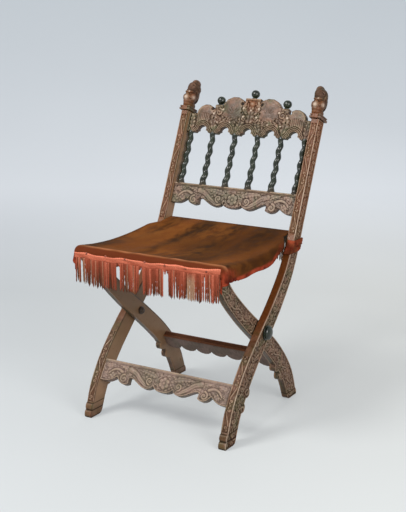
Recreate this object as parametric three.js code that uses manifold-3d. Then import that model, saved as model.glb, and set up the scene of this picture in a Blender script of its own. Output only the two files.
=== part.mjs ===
// Folding church chair with a spindle back, X-shaped side frames and a velvet sling seat.
// Millimetres, +Z up. The chair faces -Y and +X is on the viewer's right.
// The object stands on Z = 0, centred on the origin.

import * as THREE from 'three';
import { mergeVertices } from 'three/addons/utils/BufferGeometryUtils.js';
import Module from 'manifold-3d';

const wasm = await Module();
wasm.setup();

// Driving sizes of the frame.
const chairWidth = 450;            // over the outer faces of the long legs
const longLegThick = 22.5;
const shortLegThick = 20;
const legGap = 2;                  // between a long leg and the short leg beside it
const fitGap = 0.3;                // clearance wherever two pieces meet

// Long legs: a curve from the front foot up to the straight back post.
const longCurveRun = 371.5;
const longCurveRise = 484;
const longLegWidth = 57;           // at the widest, below the crossing
const postLength = 341;
const postWidth = 40;
const rakeAngle = THREE.MathUtils.degToRad(23.4);
const longLegShares = [            // run, rise, width
    [0, 0, 0.84], [0.081, 0.165, 0.95], [0.236, 0.331, 1], [0.456, 0.496, 0.955],
    [0.693, 0.661, 0.88], [0.879, 0.826, 0.81], [1, 1, 0.74],
];

// Short legs: a curve from the rear foot up to the front seat rail.
const shortCurveRun = 440;
const shortCurveRise = 480;
const shortLegWidth = 55;
const shortLegShares = [           // run, rise, width
    [0, 0, 0.93], [0.082, 0.167, 1], [0.236, 0.333, 1], [0.449, 0.5, 0.956],
    [0.68, 0.667, 0.887], [0.875, 0.833, 0.8], [1, 1, 0.764],
];
const curveSamples = 26;

// Scroll lobes sawn on the inner edges of the legs, below the crossing.
const lobeRadius = 15;
const lobeHeights = [122, 88];     // above the floor
const lobeInset = 5;               // from the leg's edge to the lobe's centre

// Pivot between the two side frames.
const pivotHeight = 260;
const boltRadius = 4.5;
const boltSocket = 9;              // length of bolt inside the boss and inside the nut
const bossRadius = 20;
const bossHeight = 15;
const nutRadius = 11;
const nutHeight = 12;
const washerRadius = 13;

// Back rails and spindles, set on the raked plane of the posts.
const crestDrop = 61;              // from the post's top down to the spindle's upper end
const crestThick = 20;
const lowerRailDrop = 219;         // from the post's top down to the lower rail's top edge
const lowerRailHeight = 61;
const lowerRailThick = 18;
const railMouldHeight = 6;
const railMouldProud = 3;
const railSetback = 13;            // from the posts' front faces
const spindleCount = 6;
const spindleEndInset = 15;        // from a post's inner face to the nearest spindle's centre
const spindleRadius = 8.4;          // of the round strand
const spindleTwistDepth = 2.4;      // from the spindle's axis to the strand's centre
const spindleTwistPitch = 34.5;
const spindleBaseRadius = 13;
const spindleBaseHeight = 17;
const spindleCapRadius = 10.5;
const spindleCapHeight = 14;
const spindlePinRadius = 4;
const spindlePinLength = 12;

// Crest rail outline, measured up from the spindles' upper ends. The shares are of half the
// width between the posts, and of the spindles' pitch for the arches.
const crestEndHeight = 57;
const outerLobeRadiusShare = 0.158;
const outerLobeShare = 0.731;
const outerLobeUp = 55;
const innerLobeRadiusShare = 0.2075;
const innerLobeShare = 0.2815;
const innerLobeUp = 73;
const crestCoreHeight = 74;
const crestCoreShare = 0.691;
const plinthHalf = 12;
const plinthTop = 88;
const plinthShare = 0.538;
const blockHalf = 25;
const blockTop = 113;
const piercingRadius = 4.5;
const outerPiercingShare = 0.632;
const outerPiercingUp = 75;
const innerPiercingShare = 0.158;
const innerPiercingUp = 95;
const archHalfShare = 0.29;
const archCuspShare = 0.17;
const archCuspUp = 7;
const archPeak = 23;
const ballRadius = 12.5;
const ballPinRadius = 3;
const ballPinLength = 9;
const ballNeckRadius = 7;
const ballNeckHeight = 3;

// Posts' collars and carved heads.
const collarProud = 6;
const collarThick = 13;
const headHeight = 86;
const headHalfWidth = 19.5;
const headHalfDepth = 33;
const headDowelRadius = 5;

// Stretchers.
const stretcherThick = 20;
const frontStretcherTop = 153.7;   // height of its upper front edge
const frontStretcherHeight = 61;
const frontStretcherTilt = THREE.MathUtils.degToRad(32);
const frontStretcherSetback = 4.4;
const rearStretcherTop = 150.8;
const rearStretcherHeight = 52;
const rearStretcherTilt = THREE.MathUtils.degToRad(-33);
const rearStretcherSetback = 30;
const scallopCount = 7;
const scallopDepth = 17;

// Scrolled lower edge of the lower back rail and the front stretcher, from the middle outwards.
const scrollStrokeShares = [       // across, down
    [[0, 1], [0.075, 0.98], [0.13, 0.89], [0.155, 0.78]],
    [[0.175, 0.9], [0.215, 0.97], [0.27, 1], [0.34, 0.94], [0.42, 0.79], [0.5, 0.66], [0.55, 0.67]],
    [[0.545, 0.93], [0.585, 0.995], [0.635, 1], [0.69, 0.92], [0.74, 0.73]],
    [[0.77, 0.8], [0.82, 0.91], [0.88, 0.985], [1, 1]],
];
const scrollStrokeSamples = 9;

// Tenons that join the rails to the legs.
const tenonLength = 15;
const tenonThick = 8;
const tenonShoulder = 8;

// Seat rails.
const seatRailDepth = 34;
const seatRailHeight = 25;
const seatRailRound = 8;
const frontRailSink = 18;           // from the short legs' centre-line tops down to the rail's underside
const frontRailReach = 23;          // in front of the short legs' centre-line tops
const rearRailRise = 12;            // above the foot of the straight posts
const rearRailBack = 21;           // behind the posts' centre line

// Velvet sling, its side drops and its wraps.
const velvetThick = 3;
const seatSag = 13;
const sagSamples = 10;
const sideDrop = 26;
const frontLip = 22;
const rearLip = 20;
const foldDrop = 48;
const foldDepth = 2.5;
const foldCount = 4;
const foldReach = 66;
const foldSamples = 24;
const postGapAtSeat = 27;          // from the wide part of the sling to the posts, at seat height
const wrapHeight = 48;
const wrapDrop = 12;               // below the rear rail's top
const wrapLap = 18;

// Fringes.
const headingHeight = 18;
const strandLength = 72;
const strandWidth = 4.8;
const strandPitch = 6.6;
const fringeThick = 3;
const fringeSideInset = 10;
const headingDrop = 1;             // below the rails' tops
const strandLengthVariation = 3.5;
const fringeGapShares = [0.07, 0.31, 0.33, 0.66, 0.675, 0.83, 0.855];

// Tacks that hold the velvet on the rails.
const tackCount = 7;
const tackHeadRadius = 3.5;
const tackHeadThick = 1.2;
const tackShankRadius = 0.9;
const tackLength = 9;
const tackSideInset = 20;

// How finely round shapes are faceted.
const barSides = 16;
const lobeSides = 20;
const pinSides = 10;
const turnedSides = 18;
const nutSides = 16;
const spindleSides = 8;
const twistRingsPerTurn = 9;
const ballSides = 12;
const ballRings = 8;
const headSides = 12;
const headRings = 7;
const tackSides = 8;
const discSteps = 7;

// Places worked out from the driving sizes.
const halfWidth = chairWidth / 2;
const insideHalf = halfWidth - longLegThick;
const plinthAcross = insideHalf * plinthShare;
const spindlePitch = 2 * (insideHalf - spindleEndInset) / (spindleCount - 1);
const shortOuter = insideHalf - legGap;
const shortInner = shortOuter - shortLegThick;
const overrun = longLegThick;

const carvedOak = new THREE.MeshStandardMaterial({ color: 0x7d6752, roughness: 0.6, metalness: 0 });
const blackWood = new THREE.MeshStandardMaterial({ color: 0x1c211b, roughness: 0.3, metalness: 0 });
const darkIron = new THREE.MeshStandardMaterial({ color: 0x2b2a28, roughness: 0.5, metalness: 0.8 });
const brownVelvet = new THREE.MeshStandardMaterial({ color: 0x6b3a1e, roughness: 0.95, metalness: 0 });
const coralBraid = new THREE.MeshStandardMaterial({ color: 0xa8483a, roughness: 0.9, metalness: 0 });

// Closed mesh to solid, and back.
function solid(geometry, matrix = null) {
    const bare = geometry.clone();
    bare.deleteAttribute('normal');
    bare.deleteAttribute('uv');
    const merged = mergeVertices(bare, fitGap / 1000);
    if (matrix) merged.applyMatrix4(matrix);
    return new wasm.Manifold(new wasm.Mesh({
        numProp: 3,
        vertProperties: new Float32Array(merged.attributes.position.array),
        triVerts: new Uint32Array(merged.index.array),
    }));
}

function geometryOf(manifold) {
    const mesh = manifold.getMesh();
    const geometry = new THREE.BufferGeometry();
    geometry.setAttribute('position', new THREE.BufferAttribute(new Float32Array(mesh.vertProperties), 3));
    geometry.setIndex(new THREE.BufferAttribute(new Uint32Array(mesh.triVerts), 1));
    geometry.computeVertexNormals();
    return geometry;
}

function union(solids) {
    return solids.reduce((joined, next) => joined.add(next));
}

function boxBetween(low, high) {
    const size = high.map((value, axis) => value - low[axis]);
    const middle = high.map((value, axis) => (value + low[axis]) / 2);
    return new THREE.BoxGeometry(...size).translate(...middle);
}

function outline(points) {
    return new THREE.Shape(points.map(([across, up]) => new THREE.Vector2(across, up)));
}

// Axes of a side outline: its first axis is +Y, its second +Z, and it is extruded along +X.
const sideAxes = new THREE.Matrix4().makeBasis(
    new THREE.Vector3(0, 1, 0), new THREE.Vector3(0, 0, 1), new THREE.Vector3(1, 0, 0));

function sideExtrusion(shape, xLow, xHigh) {
    const geometry = new THREE.ExtrudeGeometry(shape, { depth: xHigh - xLow, bevelEnabled: false });
    geometry.translate(0, 0, xLow);
    return geometry.applyMatrix4(sideAxes);
}

// Axes of a board: across is +X, up leans back by the tilt, and out points to the front.
function boardAxes(y, z, tilt) {
    const up = new THREE.Vector3(0, Math.sin(tilt), Math.cos(tilt));
    const out = new THREE.Vector3(0, -Math.cos(tilt), Math.sin(tilt));
    const axes = new THREE.Matrix4().makeBasis(new THREE.Vector3(1, 0, 0), up, out);
    return axes.setPosition(0, y, z);
}

function board(shape, outLow, outHigh, axes) {
    const geometry = new THREE.ExtrudeGeometry(
        shape, { depth: outHigh - outLow, bevelEnabled: false, curveSegments: discSteps });
    return solid(geometry.translate(0, 0, outLow), axes);
}

// A bar along +X with a round section.
function barAlongX(radius, xLow, xHigh, y, z, sides = barSides) {
    const bar = new THREE.CylinderGeometry(radius, radius, xHigh - xLow, sides);
    bar.rotateZ(-Math.PI / 2);
    return solid(bar.translate((xLow + xHigh) / 2, y, z));
}

// Legs as a centre line with a width at each step.
function legSteps(shares, run, rise, width, direction) {
    const line = new THREE.SplineCurve(
        shares.map(([along, up]) => new THREE.Vector2(direction * along * run, up * rise)));
    const widths = new THREE.SplineCurve(
        shares.map(([, up, wide]) => new THREE.Vector2(up * rise, wide * width)));
    const steps = [];
    for (let i = 0; i <= curveSamples; i++) {
        const share = i / curveSamples;
        const tangent = line.getTangent(share);
        steps.push({ centre: line.getPoint(share), side: new THREE.Vector2(tangent.y, -tangent.x),
            half: widths.getPoint(share).y / 2 });
    }
    return steps;
}

function edgeOf(steps, sign) {
    return steps.map(({ centre, side, half }) => centre.clone().addScaledVector(side, sign * half));
}

function depthAt(edge, height) {
    const next = edge.findIndex((point) => point.y >= height);
    const above = edge[next];
    const below = edge[next - 1];
    return THREE.MathUtils.mapLinear(height, below.y, above.y, below.x, above.x);
}

// A foot stands flat: its edges run straight down to the floor from the first steps above it.
function standOnFloor(edge) {
    const above = edge.filter((point) => point.y > longLegThick / 2);
    const slope = (above[1].x - above[0].x) / (above[1].y - above[0].y);
    return [new THREE.Vector2(above[0].x - slope * above[0].y, 0), ...above];
}

const longSteps = legSteps(longLegShares, longCurveRun, longCurveRise, longLegWidth, 1);
const postUp = new THREE.Vector2(Math.sin(rakeAngle), Math.cos(rakeAngle));
const postSide = new THREE.Vector2(Math.cos(rakeAngle), -Math.sin(rakeAngle));
const postTop = longSteps[curveSamples].centre.clone().addScaledVector(postUp, postLength);
const postFoot = postTop.clone().addScaledVector(postUp, -lowerRailDrop - lowerRailHeight);
for (const centre of [postFoot, postTop]) longSteps.push({ centre, side: postSide, half: postWidth / 2 });
const longFront = standOnFloor(edgeOf(longSteps, -1));
const longRear = standOnFloor(edgeOf(longSteps, 1));
const pivotDepth = depthAt(longSteps.map((step) => step.centre), pivotHeight);

// The short leg is placed so that its centre line also passes through the pivot.
const looseShortSteps = legSteps(shortLegShares, shortCurveRun, shortCurveRise, shortLegWidth, -1);
const shortShift = pivotDepth - depthAt(looseShortSteps.map((step) => step.centre), pivotHeight);
const shortSteps = looseShortSteps.map(({ centre, side, half }) => (
    { centre: centre.clone().add(new THREE.Vector2(shortShift, 0)), side, half }));
const shortFront = standOnFloor(edgeOf(shortSteps, -1));
const shortRear = standOnFloor(edgeOf(shortSteps, 1));

// Rails' places.
const backAxes = boardAxes(postTop.x, postTop.y, rakeAngle);
const railFront = postWidth / 2 - railSetback;
const crestBack = railFront - crestThick;
const lowerRailRear = railFront - lowerRailThick;
const spindleOut = railFront - lowerRailThick / 2;
const frontStretcherAxes = boardAxes(
    depthAt(longFront, frontStretcherTop) + frontStretcherSetback, frontStretcherTop, frontStretcherTilt);
const rearStretcherAxes = boardAxes(
    depthAt(shortFront, rearStretcherTop) + rearStretcherSetback, rearStretcherTop, rearStretcherTilt);
const frontRailFront = shortSteps[curveSamples].centre.x - frontRailReach;
const frontRailRear = frontRailFront + seatRailDepth;
const frontRailBottom = shortCurveRise - frontRailSink;
const frontRailTop = frontRailBottom + seatRailHeight;
const rearRailTop = longCurveRise + rearRailRise;
const postDepthAtSeat = depthAt(longSteps.map((step) => step.centre), rearRailTop);
const rearRailRear = postDepthAtSeat + rearRailBack;
const rearRailFront = rearRailRear - seatRailDepth;
const rearRailBottom = rearRailTop - seatRailHeight;
const frontHeadingTop = frontRailTop - headingDrop;
const rearHeadingTop = rearRailTop - headingDrop;
const frontTackHeight = frontHeadingTop - headingHeight / 2;
const rearTackHeight = rearHeadingTop - headingHeight / 2;
const wrapTop = rearRailTop - wrapDrop;

// Tenons at both ends of a board. They run between two heights, in the middle of its thickness.
function tenons(shoulderHalf, upLow, upHigh, outMiddle, axes, grow = 0) {
    const ends = [-1, 1].map((side) => {
        const inner = side * (shoulderHalf - (grow ? overrun : tenonLength));
        const outer = side * (shoulderHalf + tenonLength + grow);
        return solid(boxBetween(
            [Math.min(inner, outer), upLow - grow, outMiddle - tenonThick / 2 - grow],
            [Math.max(inner, outer), upHigh + grow, outMiddle + tenonThick / 2 + grow]), axes);
    });
    return union(ends);
}

const crestTenon = [-crestDrop + tenonShoulder, crestEndHeight - crestDrop - tenonShoulder * 2];
const lowerTenon = [-lowerRailDrop - lowerRailHeight + tenonShoulder, -lowerRailDrop - tenonShoulder];
const frontStretcherTenon = [-frontStretcherHeight + tenonShoulder, -tenonShoulder];
const rearStretcherTenon = [-rearStretcherHeight + tenonShoulder * 2, -tenonShoulder];
const crestMiddle = crestBack + crestThick / 2;
const levelAxes = boardAxes(0, 0, 0);
const rearRailTenon = [rearRailBottom + tenonShoulder / 2, rearRailTop - tenonShoulder / 2];
const rearRailMiddle = -(rearRailFront + rearRailRear) / 2;

// Each short leg ends in a tenon that stands up in the front rail.
function railTenon(side, grow = 0) {
    const middle = side * (shortOuter + shortInner) / 2;
    const depthMiddle = (frontRailFront + frontRailRear) / 2;
    const half = [tenonThick / 2 + grow, tenonLength / 2 + grow];
    return solid(boxBetween(
        [middle - half[0], depthMiddle - half[1] + tenonShoulder / 2, frontRailBottom - tenonLength],
        [middle + half[0], depthMiddle + half[1] + tenonShoulder / 2,
            frontRailBottom + tenonLength + grow]));
}

// A leg is its outline with the sawn lobes added on its inner edge.
function legBlank(frontEdge, rearEdge, lobeEdge, lobeSide, xLow, xHigh) {
    const points = [...frontEdge, ...[...rearEdge].reverse()].map((point) => [point.x, point.y]);
    const pieces = [solid(sideExtrusion(outline(points), xLow, xHigh))];
    for (const height of lobeHeights) {
        const depth = depthAt(lobeEdge, height) - lobeSide * lobeInset;
        pieces.push(barAlongX(lobeRadius, xLow, xHigh, depth, height, lobeSides));
    }
    return union(pieces);
}

function boltHole(side) {
    const ends = [side * (shortInner - overrun), side * (halfWidth + overrun)].sort((a, b) => a - b);
    return barAlongX(boltRadius + fitGap, ...ends, pivotDepth, pivotHeight);
}

function sides(side, inner, outer) {
    return side > 0 ? [inner, outer] : [-outer, -inner];
}

function longLeg(side) {
    const blank = legBlank(longFront, longRear, longRear, 1, ...sides(side, insideHalf, halfWidth));
    const dowel = headDowel(side, fitGap);
    return blank
        .subtract(tenons(insideHalf, ...crestTenon, crestMiddle, backAxes, fitGap))
        .subtract(tenons(insideHalf, ...lowerTenon, spindleOut, backAxes, fitGap))
        .subtract(tenons(
            insideHalf, ...frontStretcherTenon, -stretcherThick / 2, frontStretcherAxes, fitGap))
        .subtract(tenons(insideHalf, ...rearRailTenon, rearRailMiddle, levelAxes, fitGap))
        .subtract(dowel)
        .subtract(boltHole(side));
}

function shortLeg(side) {
    const above = solid(boxBetween([-chairWidth, -chairWidth, frontRailBottom - fitGap],
        [chairWidth, chairWidth, frontRailBottom + shortCurveRise]));
    return legBlank(shortFront, shortRear, shortFront, -1, ...sides(side, shortInner, shortOuter))
        .subtract(above)
        .add(railTenon(side))
        .subtract(tenons(shortInner, ...rearStretcherTenon, -stretcherThick / 2, rearStretcherAxes, fitGap))
        .subtract(boltHole(side));
}

// Carved head on each post, above a square collar.
const headAcross = (insideHalf + halfWidth) / 2;

function headDowel(side, grow = 0) {
    const low = crestTenon[1] + tenonShoulder / 2 - grow;
    const high = collarThick + headHeight / 4;
    const radius = headDowelRadius + grow;
    const dowel = new THREE.CylinderGeometry(radius, radius, high - low, pinSides);
    return solid(dowel.translate(side * headAcross, (low + high) / 2, 0), backAxes);
}

function collar(side) {
    const half = [longLegThick / 2 + collarProud, postWidth / 2 + collarProud];
    const plate = solid(boxBetween(
        [side * headAcross - half[0], fitGap, -half[1]],
        [side * headAcross + half[0], collarThick, half[1]]), backAxes);
    return plate.subtract(headDowel(side, fitGap));
}

// Rounded masses of the head: centre across, up and out, then half sizes, as shares of the head.
const headMassShares = [
    [0, 0.12, 0.08, 0.8, 0.2, 0.68],
    [0.05, 0.38, 0.04, 0.98, 0.3, 0.88],
    [0.05, 0.3, 0.64, 0.72, 0.16, 0.4],
    [0.22, 0.65, -0.1, 0.94, 0.25, 0.82],
    [0.62, 0.875, -0.04, 0.56, 0.13, 0.46],
];

function head(side) {
    const seat = collarThick + fitGap;
    const masses = headMassShares.map(([across, up, out, halfAcross, halfUp, halfOut]) => {
        const mass = new THREE.SphereGeometry(1, headSides, headRings);
        mass.scale(halfAcross * headHalfWidth, halfUp * headHeight, halfOut * headHalfDepth);
        mass.translate(side * headAcross - side * across * headHalfWidth, seat + up * headHeight,
            out * headHalfDepth);
        return solid(mass, backAxes);
    });
    const reach = headHeight * 2;
    const below = solid(boxBetween([-halfWidth - reach, -reach, -reach], [halfWidth + reach, seat, reach]),
        backAxes);
    return union(masses).subtract(below).add(headDowel(side));
}

// Crest rail.
function archOutline(middle) {
    const archHalf = spindlePitch * archHalfShare;
    const archCuspHalf = spindlePitch * archCuspShare;
    const shape = [
        [-archHalf, -overrun], [-archHalf, 0], [-archHalf * 0.93, archCuspUp * 0.45],
        [-archHalf * 0.77, archCuspUp * 0.85], [-archCuspHalf, archCuspUp],
        [-archCuspHalf * 1.1, archCuspUp * 1.55], [-archCuspHalf * 1.04, archCuspUp * 2.1],
        [-archCuspHalf * 0.78, archCuspUp * 2.6], [-archCuspHalf * 0.38, archPeak * 0.92], [0, archPeak],
    ];
    const mirrored = shape.slice(0, -1).map(([across, up]) => [-across, up]).reverse();
    return outline([...shape, ...mirrored].map(([across, up]) => [middle + across, up]));
}

function disc(radius, across, up) {
    const shape = new THREE.Shape();
    shape.absarc(across, up, radius, 0, Math.PI * 2);
    return shape;
}

function spindleHoles(up, down) {
    const holes = [];
    for (let i = 0; i < spindleCount; i++) {
        const pin = new THREE.CylinderGeometry(
            spindlePinRadius + fitGap, spindlePinRadius + fitGap, up - down, pinSides);
        pin.translate(spindleAcross(i), (up + down) / 2, spindleOut);
        holes.push(solid(pin, backAxes));
    }
    return union(holes);
}

function spindleAcross(index) {
    return (index - (spindleCount - 1) / 2) * spindlePitch;
}

const ballPlaces = [
    { name: 'left', across: -plinthAcross, up: plinthTop },
    { name: 'centre', across: 0, up: blockTop },
    { name: 'right', across: plinthAcross, up: plinthTop },
];

function crestRail() {
    const axes = backAxes.clone().multiply(new THREE.Matrix4().makeTranslation(0, -crestDrop, 0));
    const end = insideHalf - fitGap;
    const crestCore = insideHalf * crestCoreShare;
    const shapes = [
        outline([[-end, 0], [end, 0], [end, crestEndHeight], [-end, crestEndHeight]]),
        outline([[-crestCore, 0], [crestCore, 0], [plinthAcross, crestCoreHeight],
            [-plinthAcross, crestCoreHeight]]),
        outline([[-blockHalf, 0], [blockHalf, 0], [blockHalf, blockTop], [-blockHalf, blockTop]]),
    ];
    for (const side of [-1, 1]) {
        shapes.push(disc(
            insideHalf * outerLobeRadiusShare, side * insideHalf * outerLobeShare, outerLobeUp));
        shapes.push(disc(
            insideHalf * innerLobeRadiusShare, side * insideHalf * innerLobeShare, innerLobeUp));
        const [low, high] = sides(side, plinthAcross - plinthHalf, plinthAcross + plinthHalf);
        shapes.push(outline([[low, 0], [high, 0], [high, plinthTop], [low, plinthTop]]));
    }
    const rail = union(shapes.map((shape) => board(shape, crestBack, railFront, axes)));
    const cuts = [];
    for (let i = 0; i < spindleCount - 1; i++) {
        const middle = (spindleAcross(i) + spindleAcross(i + 1)) / 2;
        cuts.push(board(archOutline(middle), crestBack - overrun, railFront + overrun, axes));
    }
    for (const side of [-1, 1]) {
        const piercings = [[outerPiercingShare, outerPiercingUp], [innerPiercingShare, innerPiercingUp]];
        for (const [share, up] of piercings) {
            cuts.push(board(disc(piercingRadius, side * insideHalf * share, up), crestBack - overrun,
                railFront + overrun, axes));
        }
    }
    for (const place of ballPlaces) {
        const pin = new THREE.CylinderGeometry(
            ballPinRadius + fitGap, ballPinRadius + fitGap, ballPinLength * 2, pinSides);
        pin.translate(place.across, place.up, crestMiddle);
        cuts.push(solid(pin, axes));
    }
    return rail.add(tenons(end, ...crestTenon, crestMiddle, backAxes))
        .subtract(union(cuts))
        .subtract(spindleHoles(-crestDrop + spindlePinLength + fitGap, -crestDrop - overrun));
}

// Ebonised ball on a short neck, with a pin that stands in the crest.
function crestBall(place) {
    const neckTop = fitGap + ballNeckHeight;
    const profile = [[0, -ballPinLength + fitGap], [ballPinRadius, -ballPinLength + fitGap],
        [ballPinRadius, fitGap], [ballNeckRadius, fitGap], [ballNeckRadius * 0.7, neckTop]];
    const centre = neckTop + ballRadius * 0.93;
    for (let i = 2; i < ballRings; i++) {
        const angle = Math.PI * (i / ballRings - 0.5);
        profile.push([ballRadius * Math.cos(angle), centre + ballRadius * Math.sin(angle)]);
    }
    profile.push([0, centre + ballRadius]);
    const ball = new THREE.LatheGeometry(profile.map(([r, up]) => new THREE.Vector2(r, up)), ballSides);
    ball.translate(place.across, place.up - crestDrop, crestMiddle);
    return solid(ball, backAxes);
}

// Scrolled edge, from one end of a board to the other.
function scrollEdge(half, height) {
    const right = scrollStrokeShares.flatMap((stroke) => {
        const curve = new THREE.SplineCurve(stroke.map(([across, down]) => (
            new THREE.Vector2(across * half, -down * height))));
        return curve.getPoints(scrollStrokeSamples).map((point) => [point.x, point.y]);
    });
    const left = right.slice(1).map(([across, up]) => [-across, up]).reverse();
    return [...left, ...right];
}

function lowerBackRail() {
    const axes = backAxes.clone().multiply(new THREE.Matrix4().makeTranslation(0, -lowerRailDrop, 0));
    const end = insideHalf - fitGap;
    const blank = board(outline([...scrollEdge(end, lowerRailHeight), [end, 0], [-end, 0]]),
        lowerRailRear, railFront, axes);
    const mould = solid(boxBetween([-end, -railMouldHeight, lowerRailRear - railMouldProud],
        [end, 0, railFront + railMouldProud]), axes);
    return blank.add(mould)
        .add(tenons(end, ...lowerTenon, spindleOut, backAxes))
        .subtract(spindleHoles(-lowerRailDrop + overrun, -lowerRailDrop - spindlePinLength - fitGap));
}

// Twist-turned spindle between the two back rails.
function spindle(index) {
    const bottom = fitGap;
    const top = lowerRailDrop - crestDrop - fitGap;
    const twistLow = bottom + spindleBaseHeight;
    const twistHigh = top - spindleCapHeight;
    const neck = spindleRadius - spindleTwistDepth;
    const profile = [
        [0, bottom - spindlePinLength], [spindlePinRadius, bottom - spindlePinLength],
        [spindlePinRadius, bottom], [spindleBaseRadius, bottom],
        [spindleBaseRadius * 0.9, bottom + spindleBaseHeight * 0.4], [neck, twistLow],
    ];
    const rings = Math.ceil((twistHigh - twistLow) / (spindleTwistPitch / twistRingsPerTurn));
    for (let i = 1; i < rings; i++) {
        profile.push([spindleRadius, THREE.MathUtils.lerp(twistLow, twistHigh, i / rings)]);
    }
    profile.push([neck, twistHigh], [spindleCapRadius, twistHigh + spindleCapHeight * 0.5],
        [spindleCapRadius, top], [spindlePinRadius, top], [spindlePinRadius, top + spindlePinLength],
        [0, top + spindlePinLength]);
    const section = profile.map(([r, up]) => new THREE.Vector2(r, up));
    const turned = new THREE.LatheGeometry(section, spindleSides);
    const place = turned.attributes.position;
    for (let i = 0; i < place.count; i++) {
        const up = place.getY(i);
        if (up <= twistLow || up >= twistHigh) continue;
        const angle = Math.atan2(place.getZ(i), place.getX(i));
        const turn = up / spindleTwistPitch * Math.PI * 2;
        const swing = spindleTwistDepth * Math.cos(angle + turn);
        const rest = Math.sqrt(spindleRadius ** 2 - (spindleTwistDepth * Math.sin(angle + turn)) ** 2);
        const scale = (swing + rest) / spindleRadius;
        place.setX(i, place.getX(i) * scale);
        place.setZ(i, place.getZ(i) * scale);
    }
    turned.translate(spindleAcross(index), -lowerRailDrop, spindleOut);
    return solid(turned, backAxes);
}

// Stretchers.
function frontStretcher() {
    const end = insideHalf - fitGap;
    const shape = outline([...scrollEdge(end, frontStretcherHeight), [end, 0], [-end, 0]]);
    return board(shape, -stretcherThick, 0, frontStretcherAxes)
        .add(tenons(end, ...frontStretcherTenon, -stretcherThick / 2, frontStretcherAxes));
}

function rearStretcher() {
    const end = shortInner - fitGap;
    const pitch = end * 2 / scallopCount;
    const points = [];
    for (let i = 0; i < scallopCount; i++) {
        for (const share of [0, 0.08, 0.25, 0.5, 0.75, 0.92]) {
            const drop = rearStretcherHeight - scallopDepth * (1 - Math.sin(share * Math.PI) ** 0.5);
            points.push([-end + (i + share) * pitch, -drop]);
        }
    }
    points.push([end, scallopDepth - rearStretcherHeight], [end, 0], [-end, 0]);
    return board(outline(points), -stretcherThick, 0, rearStretcherAxes)
        .add(tenons(end, ...rearStretcherTenon, -stretcherThick / 2, rearStretcherAxes));
}

// Seat rails, rounded where the velvet goes over them.
function arcPoints(y, z, radius, fromQuarter, toQuarter, steps = 4) {
    const points = [];
    for (let i = 0; i <= steps; i++) {
        const angle = THREE.MathUtils.lerp(fromQuarter, toQuarter, i / steps) * Math.PI / 2;
        points.push([y + radius * Math.cos(angle), z + radius * Math.sin(angle)]);
    }
    return points;
}

function frontSeatRail() {
    const round = seatRailRound;
    const section = outline([
        [frontRailRear, frontRailBottom], [frontRailRear, frontRailTop],
        ...arcPoints(frontRailFront + round, frontRailTop - round, round, 1, 2),
        [frontRailFront, frontRailBottom],
    ].reverse());
    const end = halfWidth - velvetThick;
    return solid(sideExtrusion(section, -end, end))
        .subtract(railTenon(-1, fitGap))
        .subtract(railTenon(1, fitGap))
        .subtract(tackHoles(frontRailFront, frontTackHeight, 1));
}

function rearSeatRail() {
    const round = seatRailRound;
    const section = outline([
        [rearRailRear, rearRailBottom],
        ...arcPoints(rearRailRear - round, rearRailTop - round, round, 0, 1),
        [rearRailFront, rearRailTop], [rearRailFront, rearRailBottom],
    ].reverse());
    const end = insideHalf - fitGap;
    return solid(sideExtrusion(section, -end, end))
        .add(tenons(end, ...rearRailTenon, rearRailMiddle, levelAxes))
        .subtract(tackHoles(rearRailRear, rearTackHeight, -1));
}

// Tacks: driven along Y through the braid and the velvet into the rail.
const tackFaceOut = fitGap * 2 + velvetThick + fringeThick;

function tackAcross(index) {
    const half = insideHalf - tackSideInset;
    return THREE.MathUtils.lerp(-half, half, index / (tackCount - 1));
}

function tackShape(railFace, height, direction, grow) {
    const head = new THREE.CylinderGeometry(tackHeadRadius, tackHeadRadius * 0.6, tackHeadThick, tackSides);
    const sunk = tackHeadThick / 2;
    const length = sunk + tackFaceOut + tackLength + grow;
    const radius = tackShankRadius + grow;
    const shank = new THREE.CylinderGeometry(radius, radius, length, tackSides);
    const face = railFace - direction * (tackFaceOut + fitGap);
    if (direction < 0) head.rotateX(Math.PI);
    shank.translate(0, direction * (length / 2 - sunk), 0);
    head.translate(0, -direction * tackHeadThick / 2, 0);
    return { head: solid(head.translate(0, face, height)), shank: solid(shank.translate(0, face, height)) };
}

function tackHoles(railFace, height, direction) {
    const holes = [];
    for (let i = 0; i < tackCount; i++) {
        const { shank } = tackShape(railFace, height, direction, fitGap);
        holes.push(shank.translate(tackAcross(i), 0, 0));
    }
    return union(holes);
}

function tack(index, railFace, height, direction) {
    const { head: cap, shank } = tackShape(railFace, height, direction, 0);
    return cap.add(shank).translate(tackAcross(index), 0, 0);
}

// A sheet of even thickness above a run of points.
function sheetOutline(points, thick) {
    const outer = points.map(([y, z], i) => {
        const before = points[Math.max(i - 1, 0)];
        const after = points[Math.min(i + 1, points.length - 1)];
        const run = new THREE.Vector2(after[0] - before[0], after[1] - before[1]).normalize();
        return [y + run.y * thick, z - run.x * thick];
    });
    return outline([...points, ...outer.reverse()]);
}

// Velvet sling: over the rear rail, down a slight sag and over the front rail.
function clothHeight(depth) {
    const share = (rearRailFront - depth) / (rearRailFront - frontRailRear);
    const taut = THREE.MathUtils.lerp(rearRailTop, frontRailTop, share) + fitGap;
    return taut - 4 * seatSag * share * (1 - share);
}

const clothUnder = [];
clothUnder.push([rearRailRear + fitGap, rearRailTop - rearLip]);
clothUnder.push(...arcPoints(rearRailRear - seatRailRound, rearRailTop - seatRailRound,
    seatRailRound + fitGap, 0, 1));
for (let i = 0; i <= sagSamples; i++) {
    const depth = THREE.MathUtils.lerp(rearRailFront, frontRailRear, i / sagSamples);
    clothUnder.push([depth, clothHeight(depth)]);
}
clothUnder.push(...arcPoints(frontRailFront + seatRailRound, frontRailTop - seatRailRound,
    seatRailRound + fitGap, 1, 2));
clothUnder.push([frontRailFront - fitGap, frontRailTop - frontLip]);

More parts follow.
